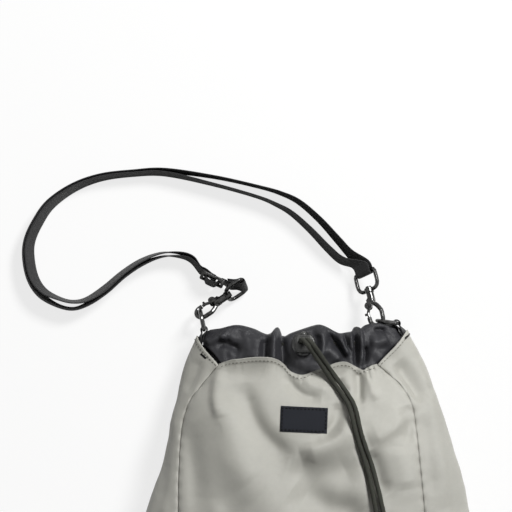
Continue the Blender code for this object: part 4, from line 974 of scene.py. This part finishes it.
def makeKnot(side, path):
    # overhand knot pulled tight: the trefoil (sin t + 2 sin 2t, cos t - 2 cos 2t, -1.3 sin 3t) at its size
    low, high = (np.array(v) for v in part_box("cord_knot_" + side))
    along = unit(path[-1] - path[-4])
    across = unit(np.cross((0, 0, 1), along))
    up = np.cross(along, across)
    t = np.linspace(knotted["open"], 2 * np.pi - knotted["open"], knotted["turns"])
    loop = np.stack([np.sin(t) + 2 * np.sin(2 * t), np.cos(t) - 2 * np.cos(2 * t), -1.3 * np.sin(3 * t)], 1)
    loop = loop * knotted["size"]
    points = (low + high) / 2 + loop[:, :1] * across + loop[:, 1:2] * along + loop[:, 2:] * up
    knot = cordTube("knot_" + side, points, knotted["radius"], knotted["sides"])
    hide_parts("cord_knot_" + side)
    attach(knot, "bag")
    return knot


makeCords()
print("drawcord made")


def stitches(name, spots, along, normal, length, radius, finish):
    # each stitch: a thread of six sides, its ends turned down into the cloth
    spots, along, normal = (np.asarray(v, float).reshape(-1, 3) for v in (spots, along, normal))
    side = unit(np.cross(along, normal))
    s = np.array([-0.5, -0.34, 0.0, 0.34, 0.5])
    sink = np.array([-0.9, 0.35, 0.7, 0.35, -0.9]) * radius
    fat = np.array([0.6, 1.0, 1.0, 1.0, 0.6]) * radius
    turn = np.linspace(0, 2 * np.pi, 6, endpoint=False)
    ring = (spots[:, None, None] + along[:, None, None] * (s * length)[None, :, None, None]
            + normal[:, None, None] * (sink[:, None] + fat[:, None] * np.sin(turn))[None, :, :, None]
            + side[:, None, None] * (fat[:, None] * np.cos(turn))[None, :, :, None])
    count = len(s) * 6
    one = gridFaces(len(s), 6, around=True).tolist() + [[5, 4, 3, 2, 1, 0], [24, 25, 26, 27, 28, 29]]
    faces = [[k + i * count for k in f] for i in range(len(spots)) for f in one]
    made = meshObject(name, ring, faces, None, [finish])
    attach(made, "bag")


def alongPath(points, pitch):
    # spots one pitch apart along the path, with the direction there
    length = pathLengths(points)
    at = np.arange(0.0, length[-1], pitch)
    spots = np.stack([np.interp(at, length, points[:, k]) for k in range(3)], 1)
    ahead = np.stack([np.interp(at + 0.0004, length, points[:, k]) for k in range(3)], 1)
    return spots, unit(ahead - spots + 1e-9)


# topstitching along the hems, in grey thread painted darker to stand for the shade in its needle holes
hemStitch = {
    "from": -0.0655, "to": 0.0535, "inset": 0.0028, "pitch": 0.0031, "length": 0.0020, "radius": 0.00028,
}


def makeHemStitches():
    # along the hem's inner edge, each standing on the surface: its normal is d/dx cross d/dy
    x = np.linspace(hemStitch["from"], hemStitch["to"], 400)
    spots, along = alongPath(frontSurface(x, hemAt(x) - hemStitch["inset"]), hemStitch["pitch"])
    step = 0.0004
    dx = frontSurface(spots[:, 0] + step, spots[:, 1]) - frontSurface(spots[:, 0] - step, spots[:, 1])
    dy = frontSurface(spots[:, 0], spots[:, 1] + step) - frontSurface(spots[:, 0], spots[:, 1] - step)
    stitches("hem_stitches_front", spots, along, unit(np.cross(dx, dy)), hemStitch["length"],
             hemStitch["radius"], greyThreadHoleShade)


def makeGussetStitches():
    # along the gusset's own grid, in each column the point that is the inset below its top edge
    for name in ("gusset_left", "gusset_right"):
        mesh = bpy.data.objects[name + "_cloth"].data
        places = np.empty(len(mesh.vertices) * 3)
        mesh.vertices.foreach_get("co", places)
        grid = places.reshape(gusset["rows"], gusset["columns"], 3)
        down = np.linalg.norm(np.diff(grid[::-1], axis=0), axis=2).cumsum(0)
        row = gusset["rows"] - 2 - np.argmax(down > hemStitch["inset"], axis=0)
        column = np.arange(gusset["columns"])
        line = grid[row, column]
        outward = -gridNormals(grid)[row, column]
        spots, along = alongPath(line, hemStitch["pitch"])
        near = np.argmin(np.linalg.norm(spots[:, None] - line[None], axis=2), axis=1)
        stitches("hem_stitches_" + name, spots, along, outward[near], hemStitch["length"],
                 hemStitch["radius"], greyThreadHoleShade)


label = {
    "middle": (-0.0022, 0.0928), "size": (0.0365, 0.0195), "turn": math.radians(-2.5), "lift": 0.0010,
    "thick": 0.0005, "columns": 60, "rows": 34, "turnedDown": 0.00045, "groove": 0.0002,
    # stitches: pitch, size, and how far in from its long and its short edges
    "pitch": 0.0029, "stitch": 0.0017, "thread": 0.00042, "inset": 0.0016, "endInset": 0.0014,
}


def labelPoint(u, v, lift):
    # u, v in metres from the label's middle, turned by its angle and laid on the front
    c, s = math.cos(label["turn"]), math.sin(label["turn"])
    x = label["middle"][0] + c * u - s * v
    y = label["middle"][1] + s * u + c * v
    spot = frontSurface(x, y)
    spot[..., 2] += lift
    return spot


def makeLabel():
    # edges turned down by exp(-distance / 1.2 mm), and a groove along each line of stitches
    width, height = label["size"]
    u = np.linspace(-width / 2, width / 2, label["columns"])[None, :]
    v = np.linspace(-height / 2, height / 2, label["rows"])[:, None]
    edge = np.minimum(width / 2 - np.abs(u), height / 2 - np.abs(v))
    lift = label["lift"] - label["turnedDown"] * np.exp(-edge / 0.0012)
    lift = lift - label["groove"] * np.exp(-((height / 2 - np.abs(v) - label["inset"]) / 0.0004) ** 2)
    u, v = np.broadcast_arrays(u, v)
    made = meshObject("label_cloth", labelPoint(u, v, lift), gridFaces(label["rows"], label["columns"]),
                      np.stack([u, v], -1), [labelCloth])
    thicken(made, label["thick"])
    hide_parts("label")
    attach(made, "bag")


def makeLabelStitches():
    # two lines along the label's long edges, then two between them along its short edges
    width, height = label["size"]
    longWay = np.arange(-width / 2 + 0.0016, width / 2 - 0.001, label["pitch"])
    shortWay = np.arange(-height / 2 + 0.0040, height / 2 - 0.003, label["pitch"])
    high, wide = height / 2 - label["inset"], width / 2 - label["endInset"]
    lines = [(longWay, 0 * longWay + end * high, (0.0005, 0.0)) for end in (-1, 1)]
    lines += [(0 * shortWay + end * wide, shortWay, (0.0, 0.0005)) for end in (-1, 1)]
    for k, (u, v, step) in enumerate(lines):
        spots = labelPoint(u, v, label["lift"])
        along = unit(labelPoint(u + step[0], v + step[1], label["lift"]) - spots)
        normal = np.tile([0.0, 0.0, 1.0], (len(spots), 1))
        stitches(f"label_stitches_{k}", spots, along, normal, label["stitch"], label["thread"], blackThread)


bartack = {
    # middle and heading of the satin bars at the hem's ends
    "left": ((-0.0805, 0.1406), (0.75, -0.66)), "right": ((0.0800, 0.1560), (0.77, 0.64)),
    "count": 14, "half": 0.0026, "width": 0.0019, "radius": 0.00024,
}


def dropOn(made, points):
    # straight down onto a made piece
    tree = BVHTree.FromObject(made, bpy.context.evaluated_depsgraph_get())
    hits = [tree.ray_cast(Vector((x, y, 0.3)), Vector((0, 0, -1))) for x, y in points]
    return np.array([spot for spot, *_ in hits]), np.array([normal for _, normal, *_ in hits])


def makeBartacks():
    # threads side by side along a short line, each across it
    for name in ("left", "right"):
        middle, heading = bartack[name]
        s = np.linspace(-bartack["half"], bartack["half"], bartack["count"])[:, None]
        spots, normals = dropOn(bpy.data.objects["gusset_" + name + "_cloth"], middle + s * heading)
        across = unit(np.cross(np.array((*heading, 0.0)), normals))
        stitches("bartack_" + name, spots, across, normals, bartack["width"], bartack["radius"], blackThread)


makeHemStitches()
makeGussetStitches()
makeLabel()
makeLabelStitches()
makeBartacks()
print("label and stitches made")


webbing = {
    "width": 0.0150, "thick": 0.0012, "touch": 0.0003, "ringLevel": 0.0240, "ringWire": 0.0030,
    "loopWire": 0.0032, "loopReach": 0.0150, "roll": {"left": 60, "right": -40}, "level": 0.0077,
    # slider: place, heading, lean in degrees; where the band enters it and where it leaves the right loop
    "slider": ((-0.0740, 0.2007, 0.0102), (0.908, -0.419), 18.0), "sliderThick": 0.0022, "sewnEnd": 0.0115,
    "sliderEntry": (0.0135, 0.0022), "rightNeck": (0.0075, 0.0022),
    # bars of stitches across it: half their length and pitch, and where they are on a tab, from foot to neck
    "barHalf": 0.0062, "barPitch": 0.0021, "stitch": 0.0016, "thread": 0.0002, "tabBars": (0.82, 0.748),
    "strapBars": (0.0025, 0.0045),
    "tabs": {
        "left": {"bar": (-0.0802, 0.1610), "foot": (-0.0846, 0.1385), "lean": -14, "leanOver": 0.010},
        "right": {"bar": (0.0720, 0.1661), "foot": (0.0848, 0.1390), "lean": 14, "leanOver": 0.009}},
    # the strap's arc on the table: x, y of its outer edge, lean in degrees, how far in the inner layer lies
    "run": [
        (-0.0916, 0.2131, -14, 0.0024), (-0.1000, 0.2170, -8, 0.0028), (-0.1135, 0.2176, 4, 0.0030),
        (-0.1282, 0.2113, 12, 0.0028), (-0.1425, 0.2017, 16, 0.0024), (-0.1568, 0.1890, 20, 0.0022),
        (-0.1714, 0.1795, 14, 0.0034), (-0.1846, 0.1755, 8, 0.0056), (-0.1981, 0.1783, 8, 0.0056),
        (-0.2124, 0.1862, 16, 0.0040), (-0.2215, 0.1993, 24, 0.0024), (-0.2254, 0.2168, 26, 0.0020),
        (-0.2243, 0.2323, 25, 0.0018), (-0.2175, 0.2478, 24, 0.0018), (-0.2060, 0.2637, 22, 0.0018),
        (-0.1862, 0.2772, 18, 0.0018), (-0.1635, 0.2851, 14, 0.0018), (-0.1369, 0.2883, 12, 0.0018),
        (-0.1107, 0.2895, 13, 0.0026), (-0.0710, 0.2835, 8, 0.0060), (-0.0360, 0.2756, 7, 0.0080),
        (-0.0185, 0.2708, 10, 0.0098), (-0.0035, 0.2641, 14, 0.0108), (0.0132, 0.2502, 17, 0.0110),
        (0.0283, 0.2343, 21, 0.0104), (0.0380, 0.2243, 26, 0.0084)],
}


def ribbonObject(name, points, widths):
    # flat band with rounded edges: across s from -1 to 1, half thickness T / 2 * (1 - s^10)^(1/2)
    points, widths = np.asarray(points, float), unit(widths)
    tangent = unit(np.gradient(points, axis=0))
    normal = unit(np.cross(tangent, widths))
    s = np.array([-1, -0.985, -0.93, -0.8, -0.6, -0.4, -0.2, 0, 0.2, 0.4, 0.6, 0.8, 0.93, 0.985, 1])
    half = webbing["thick"] / 2 * np.sqrt(np.clip(1 - np.abs(s) ** 10, 0, 1))
    half = half * (1 + 0.10 * np.exp(-((np.abs(s) - 0.9) / 0.06) ** 2))
    across = np.concatenate([s, s[-2:0:-1]]) * webbing["width"] / 2
    off = np.concatenate([half, -half[-2:0:-1]])
    rings = points[:, None] + widths[:, None] * across[None, :, None] + normal[:, None] * off[None, :, None]
    count = len(across)
    faces = gridFaces(len(points), count, around=True).tolist()
    faces += [list(range(count)), [(len(points) - 1) * count + k for k in range(count)][::-1]]
    length = pathLengths(points)
    uv = np.stack([length[:, None] + 0 * across[None, :], across[None, :] + 0 * length[:, None]], -1)
    made = meshObject(name, rings, faces, uv, [webbingCloth])
    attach(made, "bag")
    return made


def sewBar(name, place, up, out):
    # a bar of stitches that run across the webbing, standing out of its face
    across = np.arange(-webbing["barHalf"], webbing["barHalf"] + 0.0001, webbing["barPitch"])[:, None]
    stitches(name, place + up * across, np.tile(up, (len(across), 1)), np.tile(out, (len(across), 1)),
             webbing["stitch"], webbing["thread"], blackThread)


def wrapRound(centre, first, second, start, end, radius, count=9):
    # part of a circle: centre + radius * (first cos + second sin)
    a = np.radians(np.linspace(start, end, count))[:, None]
    return np.array(centre) + radius * (np.cos(a) * first + np.sin(a) * second)


def makeTabs():
    # up one leg, round the ring's bar and down the other leg
    for side, place in webbing["tabs"].items():
        bar = np.array((*place["bar"], webbing["ringLevel"]))
        foot = np.array((*place["foot"], webbing["ringLevel"]))
        along = unit(bar - foot)
        normal = np.array((along[1], -along[0], 0.0))
        leg = (webbing["thick"] + webbing["touch"]) / 2
        radius = webbing["ringWire"] / 2 + webbing["touch"] + webbing["thick"] / 2
        neck = bar - along * 2.4 * radius
        points = [foot + normal * leg, neck + normal * leg,
                  *wrapRound(bar, normal, along, -38, 218, radius, 13),
                  neck - normal * leg, foot - normal * leg]

        def leanAt(p):
            # below the ring the band leans: its lower edge swings away from the collar, its upper edge stays
            away = np.clip(((bar - p) @ along - 0.001) / place["leanOver"], 0, 1)
            lean = (math.radians(place["lean"]) * away * away * (3 - 2 * away))[:, None]
            leaning = np.cos(lean) * np.array((0, 0, 1.0)) - np.sin(lean) * normal
            return p + normal * np.sin(lean) * webbing["width"] / 2, leaning

        path, tilt = leanAt(route(points, 0.0008))
        tab = ribbonObject("tab_cloth_" + side, path, tilt)
        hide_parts("tab_" + side)
        for k, share in enumerate(webbing["tabBars"]):
            at, up = leanAt((foot + (neck - foot) * share)[None])
            out = np.cross(up, along)[0]
            for word, facing in (("out", out), ("in", -out)):
                face = at + facing * (leg + webbing["thick"] / 2)
                sewBar(f"tab_stitches_{side}_{k}_{word}", face, up, facing)


def loopBar(side):
    # the swivel loop's far bar, from the hook's swivel joint: its middle and the direction along it
    joint = joints[f"hook_{side}_swivel"]
    along = unit(joint["axis"])
    up = unit(np.array((0, 0, 1.0)) - along * along[2])
    across = np.cross(along, up)
    a = math.radians(webbing["roll"][side])
    direction = math.cos(a) * across - math.sin(a) * up
    if direction[2] < 0:
        direction = -direction
    return np.array(joint["pos_m"]) + along * webbing["loopReach"], direction


def strapLine():
    # points down the strap's middle, and the direction of its width at each
    points, widths = [], []

    def put(spots, direction):
        for spot in spots:
            points.append(np.array(spot, float))
            widths.append(np.array(direction, float))

    # round the left loop's bar, its end folded back and sewn
    bar, across = loopBar("left")
    at, heading, lean = webbing["slider"]
    at, lean = np.array(at), math.radians(lean)
    heading = unit((*heading, 0.0))
    leaning = np.array((-heading[1], heading[0], 0.0)) * math.cos(lean) - np.array((0, 0, math.sin(lean)))
    up = np.cross(heading, leaning)

    def onSlider(s, n):
        return at + heading * s + leaning * n

    toward = onSlider(*webbing["sliderEntry"]) - bar
    toward = unit(toward - across * (toward @ across))
    beside = np.cross(across, toward)
    radius = webbing["loopWire"] / 2 + webbing["touch"] + webbing["thick"] / 2
    flat = (webbing["thick"] + webbing["touch"]) / 2
    sewn, neck = bar + toward * webbing["sewnEnd"], bar + toward * 2.3 * radius
    put([sewn - beside * (flat + 0.0002), neck - beside * flat], across)
    put(wrapRound(bar, -toward, beside, -128, 128, radius), across)
    put([neck + beside * flat, sewn + beside * (flat + 0.0002)], across)

    # through the slider, over its outer bars and under its middle one
    if up[2] < 0:
        up = -up
    ride = webbing["sliderThick"] / 2 + webbing["touch"] + webbing["thick"] / 2
    layer = webbing["thick"] + webbing["touch"]
    under = ride + layer
    weave = [(0.0112, ride), (0.0086, ride), (0.0070, ride - 0.0001), (0.0059, ride - 0.0010),
             (0.0052, -0.0006), (0.0045, -0.0022), (0.0034, -under + 0.0002), (0.0020, -under)]
    for s, n in [*weave, (0.0, -under), *((-s, n) for s, n in weave[::-1])]:
        put([onSlider(s, n)], up)

    # the arc on the table, outer layer first and inner layer back
    run = np.array(webbing["run"])
    tangent = unit(np.gradient(run[:, :2], axis=0))
    out = np.stack([-tangent[:, 1], tangent[:, 0]], 1)
    lean = np.radians(run[:, 2])
    tilt = np.column_stack([out * np.sin(lean)[:, None], np.cos(lean)])
    edge = webbing["width"] / 2 * np.abs(np.sin(lean)) + webbing["thick"] / 2
    middle = run[:, :2] - out * edge[:, None]
    for spot, width in zip(middle, tilt):
        put([(*spot, webbing["level"])], width)

    # round the right loop's bar
    bar, across = loopBar("right")
    toward = points[-1] - np.array((*(out[-1] * run[-1, 3] / 2), 0.0)) - bar
    toward = unit(toward - across * (toward @ across))
    beside = np.cross(across, toward)
    if beside[:2] @ out[-1] < 0:
        beside = -beside
    far, apart = webbing["rightNeck"]
    put([bar + toward * far + beside * apart], across)
    put(wrapRound(bar, -toward, beside, 100, -100, radius), across)
    put([bar + toward * far - beside * apart], across)
    for spot, width, o, inside in zip(middle[::-1], tilt[::-1], out[::-1], run[::-1, 3]):
        put([(*(spot - o * inside), webbing["level"])], width)

    # back to the slider, round its middle bar
    for s, n in ((-0.0130, under + 0.0005), (-0.0085, under + 0.0002), (-0.0060, under - 0.0003),
                 (-0.0036, ride + 0.0005), (-0.0012, ride)):
        put([onSlider(s, n)], up)
    for a in np.radians((70, 30, 0, -30, -70)):
        put([onSlider(0.0006 + ride * math.cos(a), ride * math.sin(a))], up)
    put([onSlider(-0.0012, -ride)], up)
    return np.array(points), np.array(widths)


def makeStrap():
    # the band carried along the strap's line, with two bars of stitches where its end is folded back
    points, widths = strapLine()
    fine = route(np.hstack([points, widths]), 0.0015)
    path, width = fine[:, :3], fine[:, 3:]
    strap = ribbonObject("strap_cloth", path, width)
    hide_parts("strap_webbing")
    length = pathLengths(path)
    print("strap length", round(float(length[-1]), 3))
    normal = unit(np.cross(unit(np.gradient(path, axis=0)), width))
    for k, place in enumerate(webbing["strapBars"]):
        i = int(np.searchsorted(length, place))
        sewBar(f"strap_stitches_{k}", path[i] + normal[i] * webbing["thick"] / 2, unit(width[i]), normal[i])


makeTabs()
makeStrap()
print("webbing made")


# the hardware keeps its CAD shape and takes its finish
hardware = {
    "eyelet": blackMetal, "eyelet_washer": blackMetal, "slider": blackMetal, "drawcord_loop": cordBraid,
    "cord_lock_body": blackPlastic, "cord_lock_button": blackPlastic, "cord_lock_spring": springSteel,
}
for end in ("left", "right"):
    hardware[f"gate_spring_{end}"] = springSteel
    for part in ("d_ring", "hook", "gate", "gate_pin", "swivel_loop"):
        hardware[f"{part}_{end}"] = blackMetal


def finishHardware():
    for name, finish in hardware.items():
        mesh = nodes[name].data
        mesh.materials.clear()
        mesh.materials.append(finish)


finishHardware()
bpy.context.view_layer.update()
print("hardware finished")
